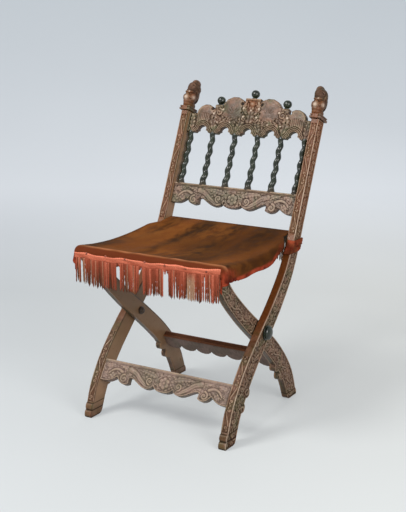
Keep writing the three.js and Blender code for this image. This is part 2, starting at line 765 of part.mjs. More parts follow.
const wideBack = depthAt(longFront, rearRailTop) - postGapAtSeat;
const slingHalf = halfWidth + foldDepth;

function sling() {
    const section = sheetOutline(clothUnder, velvetThick);
    const narrow = solid(sideExtrusion(section, -insideHalf + velvetThick, insideHalf - velvetThick));
    const wide = solid(sideExtrusion(section, -slingHalf, slingHalf));
    const tall = rearRailTop * 2;
    const behind = solid(boxBetween([-chairWidth, wideBack, 0], [chairWidth, chairWidth * 2, tall]));
    const pieces = [narrow, wide.subtract(behind)];
    const dropFront = frontRailFront + foldReach;
    for (const side of [-1, 1]) {
        const drop = [];
        for (let i = 0; i <= sagSamples; i++) {
            const depth = THREE.MathUtils.lerp(dropFront, wideBack, i / sagSamples);
            drop.push([depth, clothHeight(depth) + velvetThick / 2]);
        }
        const hem = drop.map(([y, z], i) => (
            [y, z - sideDrop - (foldDrop - sideDrop) * (1 - i / sagSamples)])).reverse();
        const [low, high] = sides(side, slingHalf - velvetThick, slingHalf);
        pieces.push(solid(sideExtrusion(outline([...drop, ...hem].reverse()), low, high)));
        pieces.push(cornerFold(side, dropFront));
    }
    return union(pieces).subtract(tackHoles(frontRailFront, frontTackHeight, 1))
        .subtract(tackHoles(rearRailRear, rearTackHeight, -1));
}

// Gathered folds of velvet that hang over the end of the front rail.
function cornerFold(side, rearEnd) {
    const inner = [];
    const outer = [];
    for (let i = 0; i <= foldSamples; i++) {
        const share = i / foldSamples;
        const depth = THREE.MathUtils.lerp(frontRailFront, rearEnd + velvetThick, share);
        const wave = foldDepth * Math.sin(share * foldCount * Math.PI * 2);
        inner.push([side * (slingHalf - velvetThick + Math.max(wave, 0)), depth]);
        outer.push([side * (slingHalf + foldDepth + wave), depth]);
    }
    const plan = side > 0 ? [...outer, ...inner.reverse()] : [...inner, ...outer.reverse()];
    const geometry = new THREE.ExtrudeGeometry(outline(plan), { depth: foldDrop, bevelEnabled: false });
    return solid(geometry.translate(0, 0, frontRailTop + velvetThick / 2 - foldDrop));
}

// Velvet corner of the sling wrapped round the outside of a back post.
function grownPost(grow, xLow, xHigh) {
    const steps = longSteps.map((step) => ({ ...step, half: step.half + grow }));
    const points = [...edgeOf(steps, -1), ...edgeOf(steps, 1).reverse()].map((point) => [point.x, point.y]);
    return solid(sideExtrusion(outline(points), xLow, xHigh));
}

function postWrap(side) {
    const cover = grownPost(fitGap + velvetThick, ...sides(side, halfWidth - wrapLap,
        halfWidth + fitGap + velvetThick));
    const inside = grownPost(fitGap, ...sides(side, insideHalf, halfWidth + fitGap));
    const band = solid(boxBetween(
        [-chairWidth, 0, wrapTop - wrapHeight], [chairWidth, chairWidth * 2, wrapTop]));
    return cover.intersect(band).subtract(inside);
}

// Fringe: a braid heading with a comb of strands below it, bare where strands are lost.
function fringe(half, headingTop, faceDepth, direction) {
    const bottom = headingTop - headingHeight;
    const comb = half - fringeSideInset;
    const count = Math.floor(comb * 2 / strandPitch);
    const points = [[half, headingTop], [-half, headingTop], [-half, bottom]];
    for (let i = 0; i < count; i++) {
        const share = i / count;
        const lost = fringeGapShares.some((gap) => Math.abs(share - gap) < 0.5 / count + 0.001);
        if (lost) continue;
        const left = -comb + i * strandPitch;
        const tip = bottom - strandLength + strandLengthVariation * Math.sin(i * 2.4);
        points.push([left, bottom], [left + strandWidth * 0.2, tip], [left + strandWidth * 0.8, tip],
            [left + strandWidth, bottom]);
    }
    points.push([half, bottom]);
    const near = fitGap * 2 + velvetThick;
    const axes = boardAxes(faceDepth, 0, 0);
    const [low, high] = sides(direction, near, near + fringeThick);
    const height = headingTop - headingHeight / 2;
    return board(outline(points), low, high, axes).subtract(tackHoles(faceDepth, height, direction));
}

// Pivot hardware, one set on each side.
function turnedAlongX(profile, side, start, segments = turnedSides) {
    const shape = new THREE.LatheGeometry(profile.map(([r, up]) => new THREE.Vector2(r, up)), segments);
    shape.rotateZ(-side * Math.PI / 2);
    return solid(shape.translate(start, pivotDepth, pivotHeight));
}

function pivotBoss(side) {
    const hole = boltRadius + fitGap;
    const depth = boltSocket + fitGap;
    const profile = [
        [hole, 0], [bossRadius, 0], [bossRadius, bossHeight * 0.2], [bossRadius * 0.86, bossHeight * 0.3],
        [bossRadius * 0.84, bossHeight * 0.45], [bossRadius * 0.72, bossHeight * 0.72],
        [bossRadius * 0.45, bossHeight * 0.93], [0, bossHeight], [0, depth], [hole, depth], [hole, 0],
    ];
    return turnedAlongX(profile, side, side * (halfWidth + fitGap));
}

function pivotNut(side) {
    const hole = boltRadius + fitGap;
    const depth = boltSocket + fitGap;
    const profile = [
        [hole, 0], [nutRadius, 0], [nutRadius, nutHeight * 0.4], [nutRadius * 0.7, nutHeight * 0.85],
        [0, nutHeight], [0, depth], [hole, depth], [hole, 0],
    ];
    return turnedAlongX(profile, -side, side * (shortInner - fitGap), nutSides);
}

function pivotBolt(side) {
    const ends = [side * (shortInner - fitGap - boltSocket), side * (halfWidth + fitGap + boltSocket)];
    return barAlongX(boltRadius, Math.min(...ends), Math.max(...ends), pivotDepth, pivotHeight);
}

function pivotWasher(side) {
    const hole = boltRadius + fitGap;
    const thick = legGap - fitGap * 2;
    return turnedAlongX([[hole, 0], [washerRadius, 0], [washerRadius, thick], [hole, thick], [hole, 0]],
        side, side * (shortOuter + fitGap), nutSides);
}

// Assembly.
const chair = new THREE.Group();
const backFrame = new THREE.Group();
const seatFrame = new THREE.Group();
chair.add(backFrame, seatFrame);

function place(group, name, shape, material) {
    const mesh = new THREE.Mesh(geometryOf(shape), material);
    mesh.name = name;
    group.add(mesh);
}

for (const [sideName, side] of [['left', -1], ['right', 1]]) {
    place(backFrame, `long_leg_${sideName}`, longLeg(side), carvedOak);
    place(backFrame, `collar_${sideName}`, collar(side), carvedOak);
    place(backFrame, `finial_head_${sideName}`, head(side), carvedOak);
    place(backFrame, `pivot_bolt_${sideName}`, pivotBolt(side), darkIron);
    place(backFrame, `pivot_boss_${sideName}`, pivotBoss(side), blackWood);
    place(backFrame, `pivot_nut_${sideName}`, pivotNut(side), blackWood);
    place(backFrame, `pivot_washer_${sideName}`, pivotWasher(side), darkIron);
    place(backFrame, `post_wrap_${sideName}`, postWrap(side), brownVelvet);
    place(seatFrame, `short_leg_${sideName}`, shortLeg(side), carvedOak);
}
place(backFrame, 'crest_rail', crestRail(), carvedOak);
for (const ball of ballPlaces) place(backFrame, `crest_ball_${ball.name}`, crestBall(ball), blackWood);
place(backFrame, 'lower_back_rail', lowerBackRail(), carvedOak);
for (let i = 0; i < spindleCount; i++) place(backFrame, `spindle_${i + 1}`, spindle(i), blackWood);
place(backFrame, 'front_stretcher', frontStretcher(), carvedOak);
place(backFrame, 'rear_seat_rail', rearSeatRail(), carvedOak);
place(backFrame, 'seat_sling', sling(), brownVelvet);
place(backFrame, 'rear_fringe',
    fringe(insideHalf - velvetThick, rearHeadingTop, rearRailRear, -1), coralBraid);
place(seatFrame, 'front_seat_rail', frontSeatRail(), carvedOak);
place(seatFrame, 'rear_stretcher', rearStretcher(), carvedOak);
place(seatFrame, 'front_fringe',
    fringe(halfWidth - velvetThick, frontHeadingTop, frontRailFront, 1), coralBraid);
for (let i = 0; i < tackCount; i++) {
    place(seatFrame, `front_tack_${i + 1}`, tack(i, frontRailFront, frontTackHeight, 1), darkIron);
    place(backFrame, `rear_tack_${i + 1}`, tack(i, rearRailRear, rearTackHeight, -1), darkIron);
}

// The chair is centred front to back over the origin.
const bounds = new THREE.Box3().setFromObject(chair);
chair.position.y = -(bounds.min.y + bounds.max.y) / 2;

export default chair;
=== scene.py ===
"""Folding church chair: carved frame, twisted spindles and a fringed velvet sling seat."""

import math
from contextlib import contextmanager

import bmesh
import bpy
import numpy as np
from bpy.props import FloatProperty, FloatVectorProperty, IntProperty, PointerProperty
from mathutils import Matrix, Vector


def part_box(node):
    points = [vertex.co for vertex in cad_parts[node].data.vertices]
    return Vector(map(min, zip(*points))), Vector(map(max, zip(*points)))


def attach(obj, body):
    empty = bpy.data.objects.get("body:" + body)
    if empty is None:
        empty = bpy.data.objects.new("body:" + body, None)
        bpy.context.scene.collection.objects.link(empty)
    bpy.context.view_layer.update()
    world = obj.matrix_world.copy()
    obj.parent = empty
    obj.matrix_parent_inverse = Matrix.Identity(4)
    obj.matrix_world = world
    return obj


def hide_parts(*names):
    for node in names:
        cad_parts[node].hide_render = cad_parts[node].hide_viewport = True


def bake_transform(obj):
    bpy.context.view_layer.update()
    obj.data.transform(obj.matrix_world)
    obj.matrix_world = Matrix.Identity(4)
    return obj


bl_info = {
    "name": "Folding church chair",
    "version": (1, 0, 0),
    "blender": (4, 5, 0),
    "location": "View3D > Sidebar > Church chair",
    "description": "Dresses the frame of a carved folding chair",
    "category": "Object",
}

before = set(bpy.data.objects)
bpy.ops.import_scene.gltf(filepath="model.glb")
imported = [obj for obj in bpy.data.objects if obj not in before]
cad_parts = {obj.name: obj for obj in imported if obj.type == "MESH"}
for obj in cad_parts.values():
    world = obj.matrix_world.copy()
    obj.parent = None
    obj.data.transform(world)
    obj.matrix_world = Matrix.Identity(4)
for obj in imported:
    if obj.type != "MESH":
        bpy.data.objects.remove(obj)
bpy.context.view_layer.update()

MM = 0.001
RAKE = math.radians(23.4)
FRONT_STRETCHER_TILT = math.radians(32)
REAR_STRETCHER_TILT = math.radians(-33)
SIDES = (("left", -1), ("right", 1))


def ramp(value, span=1.0):
    """0 below zero, 1 past the span and straight in between."""
    return np.clip(value / span, 0, 1)


def rounded(away):
    """The height of a half round: 1 on its middle line and 0 from 1 on."""
    return np.sqrt(ramp(1 - away**2))


def ripple(x, y, seed=0.0):
    """Smooth repeatable unevenness from -1 to 1."""
    return (0.6 * np.sin(x + 1.7 * np.sin(y * 0.7 + seed)) * np.sin(y * 1.13 + 1.3 * np.sin(x * 0.61 + seed * 2.1))
            + 0.4 * np.sin(x * 2.3 + y * 1.9 + seed * 3.3))


def direction(angle):
    return np.array([math.cos(angle), math.sin(angle)])


# Places read from the frame, in millimetres.
def box_mm(node):
    low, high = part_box(node)
    return np.array(low) / MM, np.array(high) / MM


def node_corners(node):
    """The corners of the node's triangles, three to a triangle."""
    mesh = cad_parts[node].data
    mesh.calc_loop_triangles()
    corner = np.empty(len(mesh.loop_triangles) * 3, np.int32)
    mesh.loop_triangles.foreach_get("vertices", corner)
    return places(mesh)[corner] / MM


class Axes:
    """A flat working frame: along, lift and out directions from an origin."""

    def __init__(self, origin, along, lift, out):
        self.origin = np.array(origin, float)
        self.turn = np.array([along, lift, out], float)

    def local(self, points):
        return (points - self.origin) @ self.turn.T

    def world(self, points):
        return points @ self.turn + self.origin

    def span(self, node):
        corners = self.local(node_corners(node))
        return corners.min(0), corners.max(0)


def raked(tilt, origin=(0, 0, 0)):
    return Axes(origin, (1, 0, 0), (0, math.sin(tilt), math.cos(tilt)),
                (0, -math.cos(tilt), math.sin(tilt)))


def board_axes(node, tilt):
    """Raked axes whose origin is the board's top front edge."""
    axes = raked(tilt)
    high = axes.span(node)[1]
    return raked(tilt, axes.world(np.array([0, high[1], high[2]])))


def standing_axes(node):
    """Raked axes that stand on the middle of the node's lower end, and the node's size in them."""
    axes = raked(RAKE)
    low, high = axes.span(node)
    foot = np.array([(low[0] + high[0]) / 2, low[1], (low[2] + high[2]) / 2])
    return raked(RAKE, axes.world(foot)), high - low


def leg_axes(side):
    """Along runs up, lift runs to the rear and out points away from the seat."""
    return Axes((0, 0, 0), (0, 0, 1), (0, 1, 0), (side, 0, 0))


def rim_segments(node, axes, out_at):
    """The outline of the node's flat face, as pairs of points in the plane."""
    corners = axes.local(node_corners(node)).reshape(-1, 3, 3)
    flat = corners[np.all(np.abs(corners[:, :, 2] - out_at) < 0.05, axis=1)][:, :, :2]
    seen = {}
    for start, end in zip(flat.reshape(-1, 2), np.roll(flat, -1, axis=1).reshape(-1, 2)):
        pair = tuple(sorted((tuple(np.round(start, 2)), tuple(np.round(end, 2)))))
        seen[pair] = seen.get(pair, 0) + 1
    return np.array([pair for pair, count in seen.items() if count == 1])


def distance_to(segments, x, y, chunk=4000):
    """Distance from each point to the nearest segment."""
    a, b = segments[:, 0], segments[:, 1]
    run = b - a
    length = (run**2).sum(1) + 1e-9
    best = np.empty(len(x))
    for i in range(0, len(x), chunk):
        px, py = x[i:i + chunk, None], y[i:i + chunk, None]
        t = ramp(((px - a[:, 0]) * run[:, 0] + (py - a[:, 1]) * run[:, 1]) / length)
        best[i:i + chunk] = np.hypot(px - a[:, 0] - t * run[:, 0], py - a[:, 1] - t * run[:, 1]).min(1)
    return best


def edge_line(segments, stations, upper):
    """The lowest or highest lift of an outline at each station."""
    a, b = segments[:, 0], segments[:, 1]
    span = b[:, 0] - a[:, 0]
    span = np.where(np.abs(span) < 1e-9, 1e-9, span)[:, None]
    share = (stations[None, :] - a[:, :1]) / span
    lift = a[:, 1:] + share * (b[:, 1:] - a[:, 1:])
    hit = (share >= 0) & (share <= 1)
    return np.where(hit, lift, -1e9).max(0) if upper else np.where(hit, lift, 1e9).min(0)


# Carved strokes.
def smooth_curve(points, steps=8):
    p = np.array(points, float)
    p = np.vstack([2 * p[0] - p[1], p, 2 * p[-1] - p[-2]])
    t = np.linspace(0, 1, steps, endpoint=False)[:, None]
    pieces = []
    for a, b, c, d in zip(p, p[1:], p[2:], p[3:]):
        pieces.append(0.5 * (2 * b + (c - a) * t + (2 * a - 5 * b + 4 * c - d) * t**2
                             + (3 * b - a - 3 * c + d) * t**3))
    return np.vstack(pieces + [p[-2:-1]])


def volute(centre, outer, inner, start, turns, steps=22):
    """A scroll that winds in towards its eye."""
    share = np.linspace(0, 1, steps)
    radius = outer + (inner - outer) * share**0.8
    angle = start + turns * 2 * math.pi * share
    return np.column_stack([centre[0] + radius * np.cos(angle), centre[1] + radius * np.sin(angle)])


# How deep the line beside a stroke is sunk, as a share of the ground's depth.
MOAT_DEPTH = 0.95


class Relief:
    """Carved height over a plane, built up from strokes. Heights run from the ground up to 0."""

    def __init__(self, x, y, ground):
        self.x, self.y = x, y
        self.ground = ground
        self.height = np.full(x.shape, float(ground))
        # bright holds painted highlights: pale spots on the beads' tops that stand in for glints.
        self.bright = np.zeros(x.shape)

    def near(self, points, reach):
        low, high = points.min(0) - reach, points.max(0) + reach
        return (self.x > low[0]) & (self.x < high[0]) & (self.y > low[1]) & (self.y < high[1])

    def from_point(self, centre):
        return np.hypot(self.x - centre[0], self.y - centre[1])

    def round_up(self, away, rise):
        """Raises a half round, given the distance from its middle line in half widths."""
        on = away < 1
        self.height[on] = np.maximum(self.height[on], self.ground + rounded(away[on]) * rise)

    def spine_of(self, points, mask):
        """Share along a line and signed distance from it, for the masked points."""
        x, y = self.x[mask], self.y[mask]
        best = np.full(x.shape, 1e9)
        share, away = np.zeros(x.shape), np.zeros(x.shape)
        count = len(points) - 1
        for i in range(count):
            (ax, ay), (dx, dy) = points[i], points[i + 1] - points[i]
            t = ramp(((x - ax) * dx + (y - ay) * dy) / (dx * dx + dy * dy + 1e-9))
            ox, oy = x - ax - t * dx, y - ay - t * dy
            gap = np.hypot(ox, oy)
            closer = gap < best
            best[closer] = gap[closer]
            share[closer] = (i + t[closer]) / count
            away[closer] = np.where(dx * oy < dy * ox, -gap, gap)[closer]
        return share, away

    def stroke(self, points, wide, thin, rise, steps=0, moat=1.5):
        """A rounded ridge from a wide to a thin half width, with a sunk line along its sides."""
        p = smooth_curve(points, steps) if steps else np.array(points, float)
        near = self.near(p, max(wide, thin) + moat)
        if not near.any():
            return
        share, away = self.spine_of(p, near)
        away = np.abs(away)
        half = wide + (thin - wide) * share
        level = self.ground + rounded(away / half) * rise * (0.55 + 0.45 * half / max(wide, thin))
        height = self.height[near]
        beside = (away >= half) & (away < half + moat)
        height[beside] = np.minimum(height[beside], self.ground * MOAT_DEPTH)
        on = away < half
        height[on] = np.maximum(height[on], level[on])
        self.height[near] = height

    def groove(self, points, half, depth, steps=0):
        """A rounded cut that goes down by a depth from the top."""
        p = smooth_curve(points, steps) if steps else np.array(points, float)
        near = self.near(p, half)
        self.height[near] -= ramp(1 - (self.spine_of(p, near)[1] / half) ** 2) * depth

    def dome(self, centre, radius, rise):
        self.round_up(self.from_point(centre) / radius, rise)

    def bead(self, centre, radius, rise):
        """A small boss, with a painted highlight over its top."""
        self.dome(centre, radius, rise)
        self.bright = np.maximum(self.bright, ramp(1.5 - 1.6 * self.from_point(centre) / radius))

    def ring(self, centre, radius, half, rise):
        self.round_up(np.abs(self.from_point(centre) - radius) / half, rise)

    def band(self, distance, low, high, rise):
        """A rounded bead that keeps between two distances from an outline."""
        self.round_up(np.abs(distance - (low + high) / 2) / ((high - low) / 2), rise)

    def pit(self, centre, radius, depth):
        """A drilled eye."""
        away = self.from_point(centre) / radius
        cut = self.ground * 0.4 - depth * ramp(1 - away**4)
        self.height = np.where(away < 1, np.minimum(self.height, cut), self.height)

    def leaf(self, base, tip, bend, half, rise, lobes=4, moat=1.2):
        """A full lobed leaf with a sunk midrib and side veins on a bent spine."""
        base, tip = np.array(base, float), np.array(tip, float)
        run = tip - base
        side = np.array([-run[1], run[0]])
        spine = smooth_curve([base, base + run * 0.5 + side * bend, tip], 4)
        near = self.near(spine, half * 1.3 + moat)
        if not near.any():
            return
        share, away = self.spine_of(spine, near)
        size = np.abs(away)
        lobe = np.abs(np.sin((share * lobes - size / half * 0.35) * math.pi))
        edge = half * np.sin(math.pi * np.clip(share, 0.02, 0.985) ** 0.75) ** 0.7 * (0.72 + 0.34 * lobe)
        out = size / np.maximum(edge, 0.3)
        midrib = 0.42 * np.exp(-((away / (0.16 * half + 0.35)) ** 2))
        veins = 0.24 * (1 - lobe) * ramp(out * 1.6)
        level = np.maximum(self.ground + rise * (1 - 0.42 * out**2 - midrib - veins), self.ground)
        beside = (out >= 1) & (size < edge + moat) & (share > 0.02) & (share < 0.98)
        height = self.height[near]
        height[beside] = np.minimum(height[beside], self.ground * MOAT_DEPTH)
        self.height[near] = np.where(out < 1, level, height)

    def scroll(self, centre, radius, start, turns, half, rise):
        """A volute with a button at its eye."""
        self.stroke(volute(centre, radius, radius * 0.22, start, turns), half, half * 0.6, rise)
        self.dome(centre, radius * 0.24, rise)

    def litter(self, seed, gap, length, half, rise, lean=0.0, spread=0.7):
        """Fills the ground with small overlapping leaves."""
        rng = np.random.default_rng(seed)
        columns = np.arange(self.x.min(), self.x.max() + gap, gap)
        rows = np.arange(self.y.min(), self.y.max() + gap, gap)
        spots = [(x, y) for x in columns for y in rows]
        rng.shuffle(spots)
        for spot in spots:
            middle = np.array(spot) + rng.uniform(-0.4, 0.4, 2) * gap
            angle = lean + rng.normal(0, spread) + (math.pi if rng.random() < 0.35 else 0)
            reach = direction(angle) * length * rng.uniform(0.38, 0.6)
            self.leaf(middle - reach, middle + reach, rng.uniform(-0.28, 0.28), half * rng.uniform(0.75, 1.2),
                      rise * rng.uniform(0.65, 1.0), 3, 0.9)
        self.height += 0.16 * ripple(self.x * 1.1, self.y * 1.3, seed)

    def cavity(self, cell=1.6, rounds=10):
        """How far each point stands above its surroundings; hollows are negative."""
        column = ((self.x - self.x.min()) / cell).astype(int) + rounds
        row = ((self.y - self.y.min()) / cell).astype(int) + rounds
        shape = (column.max() + rounds + 1, row.max() + rounds + 1)
        flat = column * shape[1] + row
        total = np.bincount(flat, self.height, shape[0] * shape[1]).reshape(shape)
        count = np.bincount(flat, minlength=shape[0] * shape[1]).reshape(shape).astype(float)
        for _ in range(rounds):
            for axis in (0, 1):
                total, count = (grid / 2 + (np.roll(grid, 1, axis) + np.roll(grid, -1, axis)) / 4
                                for grid in (total, count))
        return self.height - (total / np.maximum(count, 1e-6))[column, row]


# Mesh helpers.
def places(mesh):
    flat = np.empty(len(mesh.vertices) * 3)
    mesh.vertices.foreach_get("co", flat)
    return flat.reshape(-1, 3)


def write_places(mesh, points):
    mesh.vertices.foreach_set("co", np.ascontiguousarray(points, np.float32).ravel())
    mesh.update()


def add_values(mesh, **values):
    """Numbers kept at each point, for the finishes. One that a mesh lacks reads as 0."""
    for name, numbers in values.items():
        numbers = np.ascontiguousarray(np.broadcast_to(numbers, len(mesh.vertices)), np.float32)
        mesh.attributes.new(name, "FLOAT", "POINT").data.foreach_set("value", numbers)


def mesh_from(bm, name):
    mesh = bpy.data.meshes.new(name)
    bm.to_mesh(mesh)
    bm.free()
    return mesh


@contextmanager
def edited(mesh):
    bm = bmesh.new()
    bm.from_mesh(mesh)
    yield bm
    bm.to_mesh(mesh)
    bm.free()


def soften(bm, rounds):
    for _ in range(rounds):
        bmesh.ops.smooth_vert(bm, verts=bm.verts, factor=0.5, use_axis_x=True, use_axis_y=True, use_axis_z=True)


def hollows(mesh, rounds=8):
    """How far each point lies below its smoothed surroundings, in millimetres."""
    bm = bmesh.new()
    bm.from_mesh(mesh)
    bm.verts.ensure_lookup_table()
    start = np.array([v.co for v in bm.verts])
    way = np.array([v.normal for v in bm.verts])
    soften(bm, rounds)
    moved = np.array([v.co for v in bm.verts])
    bm.free()
    return ((moved - start) * way).sum(1)


def outward(mesh):
    with edited(mesh) as bm:
        bmesh.ops.remove_doubles(bm, verts=bm.verts, dist=1e-7)
        bmesh.ops.recalc_face_normals(bm, faces=bm.faces)


def remeshed(mesh, voxel):
    """The mesh rebuilt from even squares of one size."""
    holder = bpy.data.objects.new("holder", mesh)
    bpy.context.scene.collection.objects.link(holder)
    change = holder.modifiers.new("Even squares", "REMESH")
    change.mode = "VOXEL"
    change.voxel_size = voxel
    graph = bpy.context.evaluated_depsgraph_get()
    done = bpy.data.meshes.new_from_object(holder.evaluated_get(graph))
    bpy.data.objects.remove(holder)
    return done


def carving_block(node, axes, voxel):
    """A fine copy of a node in its working axes, in millimetres, ready to carve."""
    bm = bmesh.new()
    bm.from_mesh(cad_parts[node].data)
    bmesh.ops.remove_doubles(bm, verts=bm.verts, dist=1e-6)
    mesh = mesh_from(bm, node + "_carved")
    write_places(mesh, axes.local(places(mesh) / MM))
    if np.linalg.det(axes.turn) < 0:
        mesh.flip_normals()
    return remeshed(mesh, voxel)


def finish_block(mesh, axes, points):
    write_places(mesh, axes.world(points) * MM)
    if np.linalg.det(axes.turn) < 0:
        mesh.flip_normals()
    mesh.shade_smooth()


def place_piece(name, mesh, material, body, nodes):
    """Shows a mesh in the place of nodes, on a body where one is named."""
    piece = bpy.data.objects.new(name, mesh)
    bpy.context.scene.collection.objects.link(piece)
    mesh.materials.clear()
    mesh.materials.append(material)
    if body:
        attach(piece, body)
    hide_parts(*nodes)
    return piece


# Shader helpers.
def tint(code):
    """A colour written as a hexadecimal screen colour, made linear."""
    parts = [int(code[i:i + 2], 16) / 255 for i in (1, 3, 5)]
    return [c / 12.92 if c <= 0.04045 else ((c + 0.055) / 1.055) ** 2.4 for c in parts]


def rgba(colour):
    return (*colour, 1.0)


class Net:
    """Adds nodes and links to a tree."""

    def __init__(self, tree):
        self.tree = tree

    def put(self, value, socket):
        """Links another node's output to a socket, or sets the socket's own value."""
        if isinstance(value, bpy.types.NodeSocket):
            self.tree.links.new(value, socket)
        else:
            socket.default_value = value

    def node(self, kind, values=(), **settings):
        node = self.tree.nodes.new(kind)
        for name, value in settings.items():
            setattr(node, name, value)
        for key, value in dict(values).items():
            self.put(value, node.inputs[key])
        return node

    def math(self, operation, a, b=0.0, clamp=False):
        return self.node("ShaderNodeMath", {0: a, 1: b}, operation=operation, use_clamp=clamp).outputs[0]

    def times(self, a, b):
        return self.math("MULTIPLY", a, b)

    def noise(self, vector, scale, detail=3.0, roughness=0.55, distortion=0.0):
        return self.node("ShaderNodeTexNoise", {
            "Vector": vector, "Scale": scale, "Detail": detail, "Roughness": roughness,
            "Distortion": distortion}).outputs["Fac"]

    def remap(self, value, low, high, to_low=0.0, to_high=1.0):
        return self.node("ShaderNodeMapRange", {
            "Value": value, "From Min": low, "From Max": high,
            "To Min": to_low, "To Max": to_high}).outputs["Result"]

    def mix(self, share, a, b):
        """Goes from a to b by the share. Each is a socket or a colour of three numbers."""
        a, b = (c if isinstance(c, bpy.types.NodeSocket) else rgba(c) for c in (a, b))
        return self.node("ShaderNodeMix", {0: share, 6: a, 7: b}, data_type="RGBA").outputs[2]

    def stretched(self, vector, scale):
        return self.node("ShaderNodeMapping", {"Vector": vector, "Scale": scale}).outputs[0]

    def attribute(self, name):
        return self.node("ShaderNodeAttribute", attribute_name=name).outputs["Fac"]

    def group(self, name, values):
        node = self.tree.nodes.new("ShaderNodeGroup")
        node.node_tree = bpy.data.node_groups[name]
        for key, value in values.items():
            self.put(value, node.inputs[key])
        return node.outputs

    def patches(self, vector, scale, sharpness):
        return self.group("Patches", {"Vector": vector, "Scale": scale, "Sharpness": sharpness})["Mask"]

    def seen_directly(self):
        """1 where the camera, a mirror or a glass looks at the surface, 0 where light bounces."""
        rays = self.node("ShaderNodeLightPath").outputs
        return self.math("MAXIMUM", rays["Is Camera Ray"],
                         self.math("MAXIMUM", rays["Is Glossy Ray"], rays["Is Transmission Ray"]))


def new_group(name, inputs, outputs):
    """An empty node group, its inputs' sockets and its output node."""
    tree = bpy.data.node_groups.new(name, "ShaderNodeTree")
    for label, value in inputs.items():
        kind = "Vector" if value is None else "Float"
        socket = tree.interface.new_socket(label, in_out="INPUT", socket_type="NodeSocket" + kind)
        if value is not None:
            socket.default_value = value
    for label in outputs:
        tree.interface.new_socket(label, in_out="OUTPUT", socket_type="NodeSocketFloat")
    return Net(tree), tree.nodes.new("NodeGroupInput").outputs, tree.nodes.new("NodeGroupOutput").inputs


def build_groups():
    """Grain, carved depth and patches, shared by the finishes."""
    net, given, out = new_group("Grain", {"Vector": None, "Scale": 1.0}, ("Streak", "Pores"))
    vector = net.node("ShaderNodeVectorMath", {0: given["Vector"], "Scale": given["Scale"]},
                      operation="SCALE").outputs[0]
    streak = net.noise(net.stretched(vector, (60, 60, 9)), 3.0, 5.0, 0.6, 0.6)
    pores = net.noise(net.stretched(vector, (420, 420, 70)), 2.0, 2.0, 0.5)
    net.put(net.remap(streak, 0.32, 0.68), out["Streak"])
    net.put(net.remap(pores, 0.35, 0.6), out["Pores"])

    # Recess darkens the carving's hollows as painted shade; Rub lightens its high points, as wear and painted
    # highlight.
    net, given, out = new_group("Carved depth", {"Height": 0.0}, ("Recess", "Rub and highlight"))
    net.put(net.remap(given["Height"], -0.1, -0.95), out["Recess"])
    net.put(net.remap(given["Height"], 0.15, 0.95), out["Rub and highlight"])

    net, given, out = new_group("Patches", {"Vector": None, "Scale": 6.0, "Sharpness": 0.15}, ("Mask",))
    cloud = net.noise(given["Vector"], given["Scale"], 3.0, 0.6, 0.4)
    low, high = (net.math(way, 0.5, given["Sharpness"]) for way in ("SUBTRACT", "ADD"))
    net.put(net.remap(cloud, low, high), out["Mask"])


def new_finish(name):
    material = bpy.data.materials.new(name)
    material.use_nodes = True
    net = Net(material.node_tree)
    vector = net.node("ShaderNodeTexCoord").outputs["Object"]
    return material, net, net.tree.nodes["Principled BSDF"].inputs, vector


def link_finish(net, shader, colour, roughness, height=None, strength=0.3, distance=0.001, **plain):
    """Feeds the shader, with a bump where a height is given and plain values for other sockets."""
    net.put(colour, shader["Base Color"])
    net.put(roughness, shader["Roughness"])
    if height is not None:
        bump = net.node("ShaderNodeBump", {"Height": height, "Strength": strength, "Distance": distance})
        net.put(bump.outputs[0], shader["Normal"])
    for name, value in plain.items():
        shader[name.replace("_", " ")].default_value = value


def carved_oak(sizes):
    material, net, shader, vector = new_finish("Carved oak")
    depth = net.group("Carved depth", {"Height": net.attribute("carve")})
    grain = net.group("Grain", {"Vector": vector, "Scale": 1.0})
    patch = net.patches(vector, 17.0, 0.06)
    mottle = net.patches(vector, 75.0, 0.2)
    stain = net.patches(vector, 34.0, 0.08)
    bleached = net.attribute("bleached")
    base = net.mix(patch, sizes.oak_olive, sizes.oak_rose)
    base = net.mix(net.times(stain, 0.72), base, sizes.oak_brown)
    base = net.mix(net.times(bleached, net.remap(patch, 0, 1, 0.46, 0.7)), base, sizes.oak_pale)
    base = net.mix(net.attribute("warm"), base, sizes.oak_amber)
    base = net.mix(net.times(grain["Streak"], 0.3), base, sizes.oak_dark)
    # High points lighter: wear and painted highlight.
    base = net.mix(net.times(depth["Rub and highlight"], net.remap(mottle, 0, 1, 0.15, 0.8)), base, sizes.oak_rubbed)
    # The plain inner faces are painted lighter, to lift the shade on them.
    base = net.mix(net.times(net.attribute("inner"), 0.8), base, sizes.oak_inner)
    # Hollows darker: painted shade.
    base = net.mix(net.times(depth["Recess"], net.remap(bleached, 0, 1, 0.78, 0.38)), base, sizes.oak_dark)
    # Painted highlights: the bright attribute paints pale glints on the beads, the heads and the legs' front corners.
    colour = net.mix(net.attribute("bright"), base, sizes.oak_bright)
    roughness = net.math("ADD", net.remap(mottle, 0, 1, 0.26, 0.42), net.times(depth["Recess"], 0.5), True)
    height = net.math("ADD", net.times(grain["Pores"], 0.4), mottle)
    link_finish(net, shader, colour, roughness, height, 0.25, Specular_IOR_Level=0.2)
    return material


def black_wood(sizes):
    material, net, shader, vector = new_finish("Black polished wood")
    patch = net.patches(vector, 60.0, 0.2)
    grain = net.group("Grain", {"Vector": vector, "Scale": 1.0})
    colour = net.mix(net.times(patch, 0.6), sizes.black_paint, sizes.black_worn)
    colour = net.mix(net.attribute("worn"), colour, sizes.oak_brown)
    link_finish(net, shader, colour, net.remap(patch, 0, 1, 0.18, 0.4), grain["Pores"], 0.06, 0.0005,
                Coat_Weight=0.2, Coat_Roughness=0.16)
    return material


def dark_iron(name, deep, bright, metallic):
    material, net, shader, vector = new_finish(name)
    patch = net.patches(vector, 180.0, 0.2)
    colour = net.mix(patch, tint(deep), tint(bright))
    link_finish(net, shader, colour, net.remap(patch, 0, 1, 0.35, 0.6), patch, 0.2, 0.0005, Metallic=metallic)
    return material


